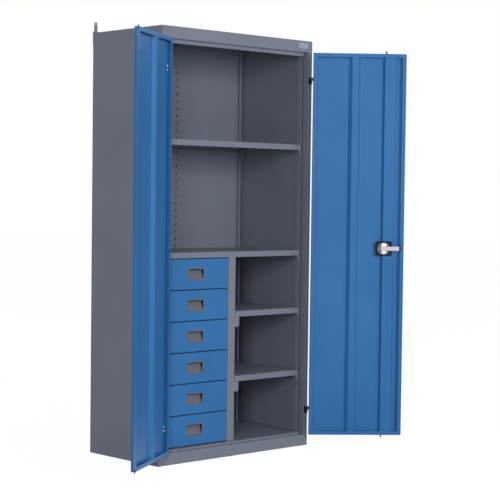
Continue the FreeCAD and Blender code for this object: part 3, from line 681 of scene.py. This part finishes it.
@dataclass
class SlottedSheet:
    """A folded sheet with punched slots: a line carried up a row of levels, less some cells."""

    name: str
    replaces: str
    finish: str
    gauge: float

    def build(self, line: np.ndarray, levels: np.ndarray, holes: np.ndarray,
              palette: Palette) -> None:
        """Makes the sheet's outer face and gives it its gauge.

        A point is the line's x and y at a column and the level's z at a row. Each cell of the
        grid is a face, but for the holes.

        Args:
            line: the folded line seen from above, columns x 2.
            levels: heights of the rows.
            holes: cells left open, one row and one column fewer than the grid.
            palette: where the finish comes from.
        """
        rows, columns = len(levels), len(line)
        points = np.empty((rows, columns, 3))
        points[..., :2] = line[None, :, :]
        points[..., 2] = levels[:, None]
        row, column = np.nonzero(~holes)
        first = row * columns + column
        faces = np.stack([first, first + 1, first + 1 + columns, first + columns], -1)
        mesh = bpy.data.meshes.new(self.name)
        mesh.from_pydata(points.reshape(-1, 3).tolist(), [], faces.tolist())
        mesh.materials.append(palette.finishes[self.finish])
        made = bpy.data.objects.new(self.name, mesh)
        bpy.context.scene.collection.objects.link(made)
        depth = made.modifiers.new("gauge", "SOLIDIFY")
        depth.thickness, depth.offset, depth.use_even_offset = self.gauge, -1.0, True
        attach(made, "cabinet")
        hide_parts(self.replaces)
        log.info("made %s on cabinet: %d faces", self.name, len(faces))


@dataclass
class Seat:
    """A place on a face: a middle point, the way out of the face and the way up along it."""

    middle: np.ndarray
    out: np.ndarray
    up: np.ndarray = field(default_factory=UP.copy)

    def put(self, across: np.ndarray, up: np.ndarray, out: np.ndarray) -> np.ndarray:
        """Points from their distances across, up and out of the face.

        Args:
            across, up, out: arrays of one shape, in metres.
        Returns:
            The points, with a last axis of three.
        """
        side = np.cross(self.up, self.out)
        parts = zip((across, up, out), (side, self.up, self.out))
        return self.middle + sum(np.asarray(size)[..., None] * way for size, way in parts)

    def stack(self, rings: np.ndarray, heights: np.ndarray) -> np.ndarray:
        """Points of rings, rows x columns x 2, each row at its height above the face."""
        return self.put(rings[..., 0], rings[..., 1], heights[:, None] + 0 * rings[..., 0])


@dataclass(frozen=True)
class Fastener:
    """A screw, bolt or rivet head; the sizes after columns are shares of radius or height."""

    radius: float = 0.0036
    height: float = 0.0020
    drive: Drive = Drive.CROSS
    columns: int = 40
    rings: Row = (1.0, 1.0, 0.97, 0.9, 0.8, 0.68, 0.56, 0.46, 0.36, 0.28, 0.2, 0.12, 0.05)
    skirt: float = -0.25
    dome_reach: float = 1.02
    dome_power: float = 0.8
    flat: float = 0.78
    flat_reach: float = 0.86
    bar_half: Pair = (0.14, 0.56)
    bar_edge: float = 0.1
    bar_depth: float = 0.55

    def shell(self, seat: Seat) -> np.ndarray:
        """A low dome turned about the seat's axis, its head cut by the drive.

        Height is a quarter-round of the distance from the axis; a cross recess lowers it by
        two smooth bars. A hexagon has two flat steps, and its distance follows six sides.

        Args:
            seat: where the head sits.
        Returns:
            The head as a grid of rows x columns points.
        """
        turn = np.arange(self.columns) * (FULL_TURN / self.columns)
        share = np.array(self.rings)
        if self.drive is Drive.HEXAGON:
            sector = np.mod(turn, FULL_TURN / 6) - FULL_TURN / 12
            reach = math.cos(FULL_TURN / 12) / np.cos(sector)
            rise = self.flat + (1.0 - self.flat) * (share < self.flat_reach)
        else:
            reach = np.ones_like(turn)
            round_off = np.clip(1.0 - (share / self.dome_reach) ** 2, 0.0, 1.0)
            rise = np.sqrt(round_off) ** self.dome_power
        rise[0] = self.skirt
        distance = self.radius * share[:, None] * reach[None, :]
        across, up = distance * np.cos(turn)[None, :], distance * np.sin(turn)[None, :]
        out = self.height * rise[:, None] + 0 * across
        if self.drive is Drive.CROSS:
            wide, long = (self.radius * half for half in self.bar_half)
            edge = self.radius * self.bar_edge
            bars = [
                np.clip((wide + edge - np.abs(one)) / edge, 0, 1)
                * np.clip((long + edge - np.abs(two)) / edge, 0, 1)
                for one, two in ((across, up), (up, across))
            ]
            out = out - self.bar_depth * self.height * np.maximum(*bars)
        return seat.put(across, up, out)


@dataclass
class Swing:
    """A door's turn from shut to where it rests."""

    hinge: np.ndarray
    angle: float

    @classmethod
    def of(cls, joint_name: str) -> "Swing":
        """The swing of a hinge joint: shut is its lower limit, rest is zero.

        Args:
            joint_name: the joint's name in the frame.
        Returns:
            The swing.
        """
        joint = next(one for one in frame["joints"] if one["name"] == joint_name)
        shut = math.radians(joint["range_deg"][0])
        return cls(np.array(joint["pos_m"]), -shut * joint["axis"][2])

    def turn(self) -> np.ndarray:
        """The rotation as a matrix about +Z."""
        cos, sin = math.cos(self.angle), math.sin(self.angle)
        return np.array([[cos, -sin, 0.0], [sin, cos, 0.0], [0.0, 0.0, 1.0]])

    def seat(self, middle: Triple, out: np.ndarray) -> Seat:
        """A seat given on the shut door, carried to the open one.

        Args:
            middle: the point on the shut door.
            out: the way out of the face there.
        Returns:
            The seat at rest.
        """
        turn = self.turn()
        place = self.hinge + turn @ (np.array(middle) - self.hinge)
        return Seat(place, turn @ out)


# Sub-assemblies


@dataclass
class Carcass:
    """The fixed sheets, with the slotted upright, the blank plate and the lugs' bolts."""

    front_y: float = -0.015
    plate_x: float = 0.4165
    plate_z: float = 1.9268
    plate_half: Pair = (0.031, 0.013)
    plate_corner: float = 0.003
    plate_rise: float = 0.0006
    plate_insets: Row = (0.0, 0.0, 0.0002, 0.0006, 0.002, 0.010)
    plate_steps: Row = (-0.5, 0.7, 0.95, 1.0, 1.0, 1.0)
    bolt: Fastener = Fastener(0.0055, 0.0036, Drive.HEXAGON, 36)
    bolt_inset: float = 0.0205
    bolt_levels: Pair = (1.905, 1.932)
    upright_gauge: float = 0.001
    upright_foot: float = 0.010
    slot_place: float = 0.026
    slot_half: Pair = (0.003, 0.0055)
    slot_first: float = 0.055
    slot_margin: float = 0.060
    slot_pitch: float = 0.035
    painted: tuple[str, ...] = (
        "right_side_panel", "left_side_panel", "back_panel", "top_panel", "top_fascia",
        "floor_panel", "plinth", "rear_upright_right", "rear_upright_left",
        "rear_upright_centre", "front_upright_right", "front_upright_left", "partition",
        "drawer_bank_side", "upper_shelf", "middle_shelf", "right_upper_shelf",
        "right_lower_shelf", "wall_brackets", "partition_brackets", "wall_lugs",
    )

    def blank_plate(self) -> Piece:
        """A bare name plate: a rounded outline raised from the fascia with a turned edge.

        Rows run from the hidden back edge over the rounded rim to the middle.

        Returns:
            The plate.
        """
        rings = inset_outlines(self.plate_half, self.plate_corner, self.plate_insets, quarter=6)
        seat = Seat(np.array([self.plate_x, self.front_y, self.plate_z]), FORWARD)
        points = seat.stack(rings, self.plate_rise * np.array(self.plate_steps))
        return Piece("fascia_blank_plate", "cabinet", "grey_paint", "blank_plate_alloy").add(points)

    def centre_upright(self, palette: Palette) -> None:
        """Rear centre upright: a wide flat hat with two columns of punched slots.

        Args:
            palette: where the finish comes from.
        """
        low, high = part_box("rear_upright_centre")
        half, base = high.x - self.upright_foot, high.y - self.upright_gauge
        wide, tall = self.slot_half
        near, far = self.slot_place - wide, self.slot_place + wide
        x = np.array([low.x, -half, -half, -far, -near, near, far, half, half, high.x])
        y = np.array([base, base, *[low.y] * 6, base, base])
        middles = np.arange(low.z + self.slot_first, high.z - self.slot_margin, self.slot_pitch)
        edges = np.stack([middles - tall, middles + tall], -1).ravel()
        levels = np.concatenate([[low.z], edges, [high.z]])
        holes = np.zeros((len(levels) - 1, len(x) - 1), dtype=bool)
        # The slots are every other level's cells between far and near on either side.
        holes[1::2, 3] = holes[1::2, 5] = True
        sheet = SlottedSheet(
            "slotted_rear_upright", "rear_upright_centre", "grey_powder_coat", self.upright_gauge
        )
        sheet.build(np.stack([x, y], -1), levels, holes, palette)

    def lug_bolts(self) -> Piece:
        """Hexagon bolts that hold each wall lug to the rear flange.

        Returns:
            Four heads in one piece.
        """
        _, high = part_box("wall_lugs")
        piece = Piece("lug_bolts", "cabinet", "steel", "zinc_steel", sharp=25.0)
        for side in Side:
            for level in self.bolt_levels:
                middle = np.array([side.value * (high.x - self.bolt_inset), high.y, level])
                piece.add(self.bolt.shell(Seat(middle, BACKWARD)))
        return piece

    def build(self, palette: Palette) -> None:
        """Dresses the carcass and adds its small pieces.

        Args:
            palette: where the finishes come from.
        """
        palette.dress(self.painted, "grey_powder_coat")
        palette.dress(("drawer_rails",), "zinc_steel")
        palette.dress(("hinge_frame_leaves",), "black_hinge_paint")
        self.centre_upright(palette)
        self.blank_plate().build(palette)
        self.lug_bolts().build(palette)


@dataclass
class Door:
    """A door: its painted sheets, its stiffener, its hinge leaves and their screws."""

    side: Side
    body: str
    joint: str
    painted: tuple[str, ...]
    plated: tuple[str, ...]
    leaves: str
    skin_front: float = -0.015
    skin_back: float = -0.014
    leaf_thickness: float = 0.004
    hinge_levels: Pair = (0.175, 1.761)
    screw: Fastener = Fastener()
    screw_end: Fastener = Fastener(0.0036, 0.0030, Drive.ROUND, 24)
    screw_x: float = 0.432
    screw_spread: float = 0.009
    rib_middle: float = 0.248
    rib_crown: float = 0.012
    rib_run: float = 0.0185
    rib_foot: float = 0.008
    rib_height: float = 0.0158
    rib_bend: float = 0.0034
    rib_gauge: float = 0.001

    def rib(self) -> Piece:
        """Stiffener of the door: the edge of a folded hat section carried up the door.

        The hat's middle line goes foot, sloping wall, crown, sloping wall, foot; the outline
        of its edge is put at the lower and the upper end.

        Returns:
            The stiffener.
        """
        node = f"{self.body}_stiffener"
        low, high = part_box(node)
        crown, wall = self.rib_crown, self.rib_crown + self.rib_run
        end = wall + self.rib_foot
        reach = np.array([-end, -wall, -crown, crown, wall, end])
        rise = np.array([0.0, 0.0, 1.0, 1.0, 0.0, 0.0]) * self.rib_height + self.rib_gauge / 2
        edge = bent_sheet(np.stack([reach, rise], -1), self.rib_bend, self.rib_gauge)
        middle = (self.side.value * self.rib_middle, self.skin_back, 0.0)
        seat = Swing.of(self.joint).seat(middle, BACKWARD)
        level = np.array([low.z, high.z])[:, None] + 0 * edge[None, :, 0]
        points = seat.put(edge[None, :, 0] + 0 * level, level, edge[None, :, 1] + 0 * level)
        piece = Piece(f"{self.body}_rib", self.body, "blue_paint", "blue_powder_coat", node)
        piece.sharp = 60.0
        return piece.add(points)

    def screws(self) -> Piece:
        """Cross screws on the hinge leaves, and their round ends inside the skin.

        Returns:
            The screws of both hinges in one piece.
        """
        swing = Swing.of(self.joint)
        piece = Piece(f"{self.body}_hinge_screws", self.body, "steel", "bright_screw_zinc")
        x, face = self.side.value * self.screw_x, self.skin_front - self.leaf_thickness
        for level in self.hinge_levels:
            for z in (level - self.screw_spread, level + self.screw_spread):
                piece.add(self.screw.shell(swing.seat((x, face, z), FORWARD)))
                piece.add(self.screw_end.shell(swing.seat((x, self.skin_back, z), BACKWARD)))
        return piece

    def build(self, palette: Palette) -> None:
        """Dresses the door and adds its stiffener and screws.

        Args:
            palette: where the finishes come from.
        """
        palette.dress(self.painted, "blue_powder_coat")
        palette.dress(self.plated, "dark_rod_steel")
        palette.dress((self.leaves,), "black_hinge_paint")
        self.rib().build(palette)
        self.screws().build(palette)


@dataclass
class Lock:
    """The three-point lock on the right door: case, ring, crank, bar, tongue, cap and lever."""

    hub: Pair = (0.098, 0.960)
    skin_front: float = -0.015
    well_y: float = -0.007
    round_columns: int = 48
    tongue_y: Pair = (0.0062, 0.0102)
    tongue_tip: float = 0.017
    cap_length: float = 0.0085
    cap_half: Pair = (0.0118, 0.0025)
    cap_corner: float = 0.0018
    cap_overhang: float = 0.0006
    cap_lip: float = 0.0005
    cap_shares: Row = (0.5, 0.80, 0.94, 1.0)
    cap_scales: Row = (0.86, 0.97, 1.0, 1.0, 0.97, 0.88, 0.66)
    bar_half: Pair = (0.010, 0.0245)
    bar_corner: float = 0.004
    bar_y: float = 0.0038
    bar_gauge: float = 0.0022
    bar_ease: Pair = (0.0006, 0.0004)
    ring_y: Pair = (0.0025, 0.0034)
    ring_radius: Pair = (0.0162, 0.0295)
    ring_columns: int = 64
    plate_half: Pair = (0.022, 0.032)
    plate_corner: float = 0.011
    plate_draw: float = 0.7
    plate_gauge: float = 0.006
    plate_insets: Row = (0.0, 0.0, 0.0003, 0.0012, 0.0026, 0.0045, 0.012)
    plate_steps: Row = (0.0, 0.55, 0.78, 0.93, 0.99, 1.0, 1.0)
    hub_gap: float = 0.0003
    hub_radii: Row = (0.0142, 0.015, 0.015, 0.0148, 0.0142, 0.013, 0.0118)
    hub_heights: Row = (0.0, 0.0008, 0.012, 0.0150, 0.0167, 0.0178, 0.018)
    arm_length: float = 0.100
    arm_rows: int = 22
    arm_columns: int = 36
    arm_straight: float = 0.93
    arm_ends: Row = (0.97, 0.99, 1.0)
    arm_start_draw: float = 0.7
    arm_end_draws: Row = (0.9, 0.7, 0.4)
    arm_half_width: Pair = (0.0108, 0.0030)
    arm_half_thick: Pair = (0.0050, 0.0006)
    arm_height: Pair = (0.0124, 0.0010)
    key_rise: float = 0.0183
    key_rows: int = 22
    key_rim_radii: Row = (0.0086, 0.0086, 0.0083)
    key_rim_heights: Row = (-0.002, 0.0002, 0.0006)
    key_face_radii: Pair = (0.0078, 0.0004)
    key_face_height: float = 0.0007
    key_slot_half: Pair = (0.0009, 0.0048)
    key_slot_edge: Pair = (0.0004, 0.0006)
    key_slot_depth: float = 0.0022

    def swing(self) -> Swing:
        """The right door's swing."""
        return Swing.of("right_door_hinge")

    def seat(self, y: float, out: np.ndarray) -> Seat:
        """A seat on the lock's axis, at a depth of the shut door."""
        return self.swing().seat((self.hub[0], y, self.hub[1]), out)

    def centre(self) -> Triple:
        """Middle of the case's well floor at rest."""
        return tuple(self.seat(self.well_y, BACKWARD).middle)

    def tongue_cap(self) -> Piece:
        """A black cap on the tongue's end: a rounded outline carried along the tongue.

        Each row scales the outline; the end rows draw in to round the ends.

        Returns:
            The cap.
        """
        seat = self.seat(sum(self.tongue_y) / 2, BACKWARD)
        shares = np.array(self.cap_shares) * self.cap_length
        along = np.concatenate([[0.0, 0.0, self.cap_lip], shares])
        scale = np.array(self.cap_scales)
        ring = rounded_outline(*self.cap_half, self.cap_corner, quarter=5)
        reach = self.hub[0] - self.tongue_tip - self.cap_length + self.cap_overhang
        across = -(reach + along)[:, None] + 0 * ring[None, :, 0]
        up, out = scale[:, None] * ring[None, :, 0], scale[:, None] * ring[None, :, 1]
        points = seat.put(self.hinge_sign(seat) * across, up, out)
        return Piece("tongue_cap", "lock", "black_plastic", "black_lock_plastic").add(points)

    def hinge_sign(self, seat: Seat) -> float:
        """Sign that turns "across" on a seat toward the hinge side, away from the tongue."""
        toward_hinge = self.swing().turn() @ np.array([1.0, 0.0, 0.0])
        return float(np.sign(np.dot(np.cross(seat.up, seat.out), toward_hinge)))

    def crank_bar(self) -> Piece:
        """Flat bar under the tongue, across the crank's disc: an outline with eased edges.

        Rows run from its front face over its rim to its back face.

        Returns:
            The bar.
        """
        inset, step = self.bar_ease
        insets = (inset, 0.0, 0.0, inset)
        rings = inset_outlines(self.bar_half, self.bar_corner, insets, quarter=6)
        heights = np.array([0.0, step, self.bar_gauge - step, self.bar_gauge])
        points = self.seat(self.bar_y, BACKWARD).stack(rings, heights)
        return Piece("crank_bar", "lock", "steel", "bright_screw_zinc").add(points)

    def guide_ring(self) -> Piece:
        """Flat ring in the well around the crank: a rectangle turned about the lock's axis.

        Rows are the rectangle's corners, inner and outer radius at the lower and upper face.

        Returns:
            The ring.
        """
        inner, outer = self.ring_radius
        low, high = self.ring_y
        radius = np.array([inner, outer, outer, inner])
        rings = radius[:, None, None] * round_outline(self.ring_columns)
        points = self.seat(0.0, BACKWARD).stack(rings, np.array([low, low, high, high]))
        piece = Piece("lock_guide_ring", "right_door", "steel", "guide_ring_steel", ring=True)
        return piece.add(points)

    def escutcheon(self) -> Piece:
        """Outside plate: a rounded outline that rises in a soft shoulder.

        Rows run from the door skin over a round edge to the flat top.

        Returns:
            The plate.
        """
        rings = inset_outlines(
            self.plate_half, self.plate_corner, self.plate_insets, quarter=8,
            draw=self.plate_draw,
        )
        heights = self.plate_gauge * np.array(self.plate_steps)
        points = self.seat(self.skin_front, FORWARD).stack(rings, heights)
        piece = Piece("lock_escutcheon", "right_door", "black_plastic", "black_lock_plastic")
        piece.replaces = "handle_escutcheon"
        return piece.add(points)

    def lever(self) -> Piece:
        """Outside lever: a turned hub and an arm whose rounded section narrows toward its foot.

        The arm's section is a super-ellipse of power four; its width, its thickness and its
        height above the door change smoothly along the arm, and its end rows draw in.

        Returns:
            Hub and arm in one piece.
        """
        seat = self.seat(self.skin_front - self.plate_gauge - self.hub_gap, FORWARD)
        rings = np.array(self.hub_radii)[:, None, None] * round_outline(self.round_columns)
        hub = seat.stack(rings, np.array(self.hub_heights))
        straight = np.linspace(0.0, self.arm_straight, self.arm_rows)
        along = np.concatenate([[0.0], straight, self.arm_ends])
        draw = np.concatenate([[self.arm_start_draw], np.ones(self.arm_rows), self.arm_end_draws])
        half_width = (self.arm_half_width[0] - self.arm_half_width[1] * along) * draw
        half_thick = (self.arm_half_thick[0] - self.arm_half_thick[1] * along) * draw
        height = self.arm_height[0] + self.arm_height[1] * np.sin(math.pi * along)
        circle = round_outline(self.arm_columns)
        section = np.sign(circle) * np.sqrt(np.abs(circle))
        across = half_width[:, None] * section[None, :, 0]
        out = height[:, None] + half_thick[:, None] * section[None, :, 1]
        up = -self.arm_length * along[:, None] + 0 * across
        piece = Piece("outside_lever", "lock", "black_plastic", "black_lock_plastic")
        piece.replaces = "outside_handle"
        return piece.add(hub).add(seat.put(across, up, out))

    def key_cylinder(self) -> Piece:
        """Key cylinder in the lever's hub: a turned face with a narrow slot pressed in.

        Height is flat to the rim; the slot lowers it by a smooth bar.

        Returns:
            The cylinder.
        """
        seat = self.seat(self.skin_front - self.plate_gauge - self.key_rise, FORWARD)
        face = np.linspace(*self.key_face_radii, self.key_rows)
        radius = np.concatenate([self.key_rim_radii, face])
        rise = np.concatenate([self.key_rim_heights, np.full(self.key_rows, self.key_face_height)])
        rings = radius[:, None, None] * round_outline(self.round_columns)
        inside = (np.array(self.key_slot_half) - np.abs(rings)) / np.array(self.key_slot_edge)
        slot = np.clip(inside, 0, 1).prod(-1)
        out = rise[:, None] - self.key_slot_depth * slot
        points = seat.put(rings[..., 0], rings[..., 1], out)
        return Piece("key_cylinder", "lock", "chrome", "lock_chrome").add(points)

    def build(self, palette: Palette) -> None:
        """Dresses the lock and adds its trim.

        Args:
            palette: where the finishes come from.
        """
        palette.dress(("lock_crank", "lock_tongue"), "lock_chrome")
        palette.dress(("lock_housing",), "lock_case")
        palette.dress(("upper_rod", "lower_rod"), "dark_rod_steel")
        palette.dress(("handle_escutcheon", "outside_handle"), "black_lock_plastic")
        trim = (self.tongue_cap(), self.crank_bar(), self.guide_ring())
        for piece in (*trim, self.escutcheon(), self.lever(), self.key_cylinder()):
            piece.build(palette)


@dataclass
class DrawerBank:
    """Six drawers: painted fronts and trays, and a moulded cup pull in each front."""

    count: int = 6
    face_step: float = 0.0015
    rim: float = 0.0036
    wall: float = 0.0015
    corner: float = 0.0028
    toe: float = 0.0030
    deep: float = 0.0188
    knee_share: float = 0.90
    arc: int = 8
    floor_corner: float = 0.7
    floor_shares: Row = (0.02, 0.3, 0.55, 0.75, 0.9, 0.97, 1.0)
    rear_shares: Row = (1.0, 0.6, 0.02)
    inner_lip: tuple[Pair, ...] = (
        (0.0, 0.0002), (0.0, -0.0007), (0.0003, -0.0012), (0.0009, -0.0015)
    )
    outer_lip: tuple[Pair, ...] = (
        (-0.0009, -0.0015), (-0.0003, -0.0012), (0.0, -0.0006), (0.0, 0.0)
    )
    shade_from: int = 3

    def shaded(self) -> np.ndarray:
        """Faces of the pocket's steep wall and of the strip of floor under its upper edge.

        They get a painted shade for a pocket deeper than the tray behind it leaves room for.

        Returns:
            Face numbers in the cup's grid.
        """
        columns, last = 4 * self.arc, len(self.floor_shares) - 1
        wall = last * columns + np.arange(columns)
        top = np.arange(self.arc // 2, 3 * self.arc // 2)
        row, column = np.meshgrid(np.arange(self.shade_from, last), top, indexing="ij")
        return np.concatenate([wall, (row * columns + column).ravel()])

    def cup(self, number: int) -> Piece:
        """One cup pull as a single closed skin.

        Rings of a rounded outline run from the middle of the pocket's floor, up its wall,
        over the rounded rim, back along the body's outside and across its rear. The floor's
        depth grows with the height above the pocket's lower edge until a knee near the top.

        Args:
            number: the drawer's number from the top.
        Returns:
            The cup.
        """
        node = f"drawer_{number}_pull"
        low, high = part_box(node)
        half_x, half_z = (high.x - low.x) / 2, (high.z - low.z) / 2
        edge = self.rim + self.wall
        inner_x, inner_z = half_x - self.rim - self.wall, half_z - self.rim - self.wall
        body_x, body_z = half_x - self.rim, half_z - self.rim

        def depth(up: np.ndarray) -> np.ndarray:
            """Depth of the pocket below the drawer's face at a height."""
            share = np.clip((up + inner_z) / (2 * inner_z * self.knee_share), 0.0, 1.0)
            return self.toe - self.wall + (self.deep - self.wall - self.toe) * share

        def flat(ring: np.ndarray, back: float) -> np.ndarray:
            """A ring with one depth for all its points."""
            return np.column_stack([ring, np.full(len(ring), back)])

        rows = []
        for share in self.floor_shares:
            corner = self.corner * self.floor_corner * share
            ring = rounded_outline(inner_x * share, inner_z * share, corner, self.arc)
            rows.append(np.column_stack([ring, depth(ring[:, 1])]))
        lips = [*self.inner_lip, *((edge + grow, back) for grow, back in self.outer_lip)]
        for grow, back in lips:
            ring = rounded_outline(inner_x + grow, inner_z + grow, self.corner, self.arc)
            rows.append(flat(ring, back))
        rows.append(flat(rounded_outline(body_x, body_z, self.corner, self.arc), 0.0))
        for share in self.rear_shares:
            ring = rounded_outline(body_x * share, body_z * share, self.corner * share, self.arc)
            rows.append(np.column_stack([ring, depth(ring[:, 1]) + self.wall]))
        grid = np.stack(rows)
        middle = np.array([(low.x + high.x) / 2, low.y + self.face_step, (low.z + high.z) / 2])
        piece = Piece(f"drawer_{number}_cup", f"drawer_{number}", "pull_plastic",
                      "cup_pull_plastic", node, sharp=32.0)
        # painted shade: the pocket's steep wall and the floor strip under its upper edge get the
        # dark colour
        piece.second_finish, piece.second_faces = "painted_pocket_shade", self.shaded()
        return piece.add(Seat(middle, FORWARD).put(grid[..., 0], grid[..., 1], -grid[..., 2]))

    def build(self, palette: Palette) -> None:
        """Dresses the drawers and adds their cups.

        Args:
            palette: where the finishes come from.
        """
        for number in range(1, self.count + 1):
            palette.dress((f"drawer_{number}_front",), "blue_powder_coat")
            palette.dress((f"drawer_{number}_tray",), "grey_powder_coat")
            palette.dress((f"drawer_{number}_pull",), "cup_pull_plastic")
            self.cup(number).build(palette)


# Studio


@dataclass(frozen=True)
class Softbox:
    """A tall soft lamp: place, width and height in metres, power in watts, and its aim."""

    name: str
    place: Triple
    width: float
    height: float
    power: float
    aim: Triple = (0.0, 0.0, 1.0)

    def hang(self) -> None:
        """Makes the lamp and turns its face to the aim."""
        light = bpy.data.lights.new(self.name, "AREA")
        light.shape = "RECTANGLE"
        light.size, light.size_y = self.width, self.height
        light.energy = self.power
        made = bpy.data.objects.new(self.name, light)
        toward = Vector(self.aim) - Vector(self.place)
        turn = toward.to_track_quat("-Z", "Y").to_matrix().to_4x4()
        made.matrix_world = Matrix.Translation(self.place) @ turn
        bpy.context.scene.collection.objects.link(made)


@dataclass
class Studio:
    """Pale floor, white surroundings, soft lamps and the camera."""

    floor_half: float = 30.0
    floor_matte: Colour = (0.62, 0.62, 0.63)
    floor_shadow: Colour = (0.22, 0.22, 0.22)
    floor_glow: float = 0.91
    surround: Colour = (0.96, 0.98, 1.0)
    ambient: float = 0.38
    camera_place: Triple = (-4.7352, -4.99792, 1.19663)
    turn: Triple = (-0.7443, -0.04331, -0.01133)
    sensor: float = 36.0
    lens: float = 107.1292
    shift: Pair = (0.07, 0.029)
    sight: float = 200.0
    lamps: tuple[Softbox, ...] = (
        Softbox("key_softbox", (0.2, -6.6, 2.3), 1.2, 2.2, 165.0),
        Softbox("left_softbox", (-5.6, -4.9, 2.2), 1.3, 2.2, 185.0),
    )

    def world(self) -> None:
        """A white surround that lights the object at the ambient level only."""
        world = bpy.data.worlds.new("studio_surround")
        bpy.context.scene.world = world
        graph = Graph(world)
        dim = {"Color": self.surround, "Strength": self.ambient}
        glow = graph.node("ShaderNodeBackground", {}, dim)
        white = graph.node("ShaderNodeBackground", {}, {"Color": (1.0, 1.0, 1.0), "Strength": 1.0})
        both = graph.node("ShaderNodeMixShader", {}, {0: graph.seen(), 1: glow, 2: white})
        graph.node("ShaderNodeOutputWorld", {}, {"Surface": both})

    def floor(self) -> None:
        """A wide pale sheet: matte for light, near white to the camera, darker in the shadow."""
        half = self.floor_half
        corners = [(-half, -half, 0), (half, -half, 0), (half, half, 0), (-half, half, 0)]
        mesh = bpy.data.meshes.new("studio_floor")
        mesh.from_pydata(corners, [], [(0, 1, 2, 3)])
        sheet = bpy.data.objects.new("studio_floor", mesh)
        bpy.context.scene.collection.objects.link(sheet)
        graph = Graph(bpy.data.materials.new("studio_floor"))
        matte = graph.node("ShaderNodeBsdfDiffuse", {}, {"Color": self.floor_matte})
        shadow = graph.node("ShaderNodeBsdfDiffuse", {}, {"Color": self.floor_shadow})
        glow = graph.node("ShaderNodeEmission", {}, {"Strength": self.floor_glow})
        shown = graph.node("ShaderNodeAddShader", {}, {0: shadow, 1: glow})
        both = graph.node("ShaderNodeMixShader", {}, {0: graph.seen(), 1: matte, 2: shown})
        graph.node("ShaderNodeOutputMaterial", {}, {"Surface": both})
        mesh.materials.append(graph.owner)

    def camera(self) -> None:
        """The photograph's viewpoint: yaw, pitch and roll turned into the camera's axes."""
        turns = (Matrix.Rotation(angle, 3, axis) for angle, axis in zip(self.turn, "ZXY"))
        yaw, pitch, roll = turns
        aim = yaw @ pitch @ roll
        axes = Matrix((aim.col[0], aim.col[2], -aim.col[1])).transposed()
        data = bpy.data.cameras.new("studio_camera")
        data.sensor_width = self.sensor
        data.lens = self.lens
        data.shift_x, data.shift_y = self.shift
        data.clip_end = self.sight
        made = bpy.data.objects.new("studio_camera", data)
        made.matrix_world = Matrix.Translation(self.camera_place) @ axes.to_4x4()
        bpy.context.scene.collection.objects.link(made)
        bpy.context.scene.camera = made

    def build(self) -> None:
        """Sets floor, surround, lamps, camera and the plain view."""
        bpy.context.scene.view_settings.view_transform = "Standard"
        self.floor()
        self.world()
        for lamp in self.lamps:
            lamp.hang()
        self.camera()


def main() -> None:
    """Builds the sub-assemblies in order, then the studio."""
    logging.basicConfig(level=logging.INFO, format="%(message)s")
    lock = Lock()
    palette = Palette()
    palette.fill(lock.centre())
    left = Door(
        Side.LEFT, "left_door", "left_door_hinge",
        ("left_door_pan", "left_door_stiffener", "left_meeting_strip", "left_bolt_guides"),
        ("left_top_bolt", "left_bottom_bolt"), "left_hinge_leaves",
    )
    right = Door(
        Side.RIGHT, "right_door", "right_door_hinge",
        ("right_door_pan", "right_door_stiffener", "right_lock_channel"), (),
        "right_hinge_leaves",
    )
    for assembly in (Carcass(), left, right, lock, DrawerBank()):
        assembly.build(palette)
    Studio().build()


if __name__ == "__main__":
    main()
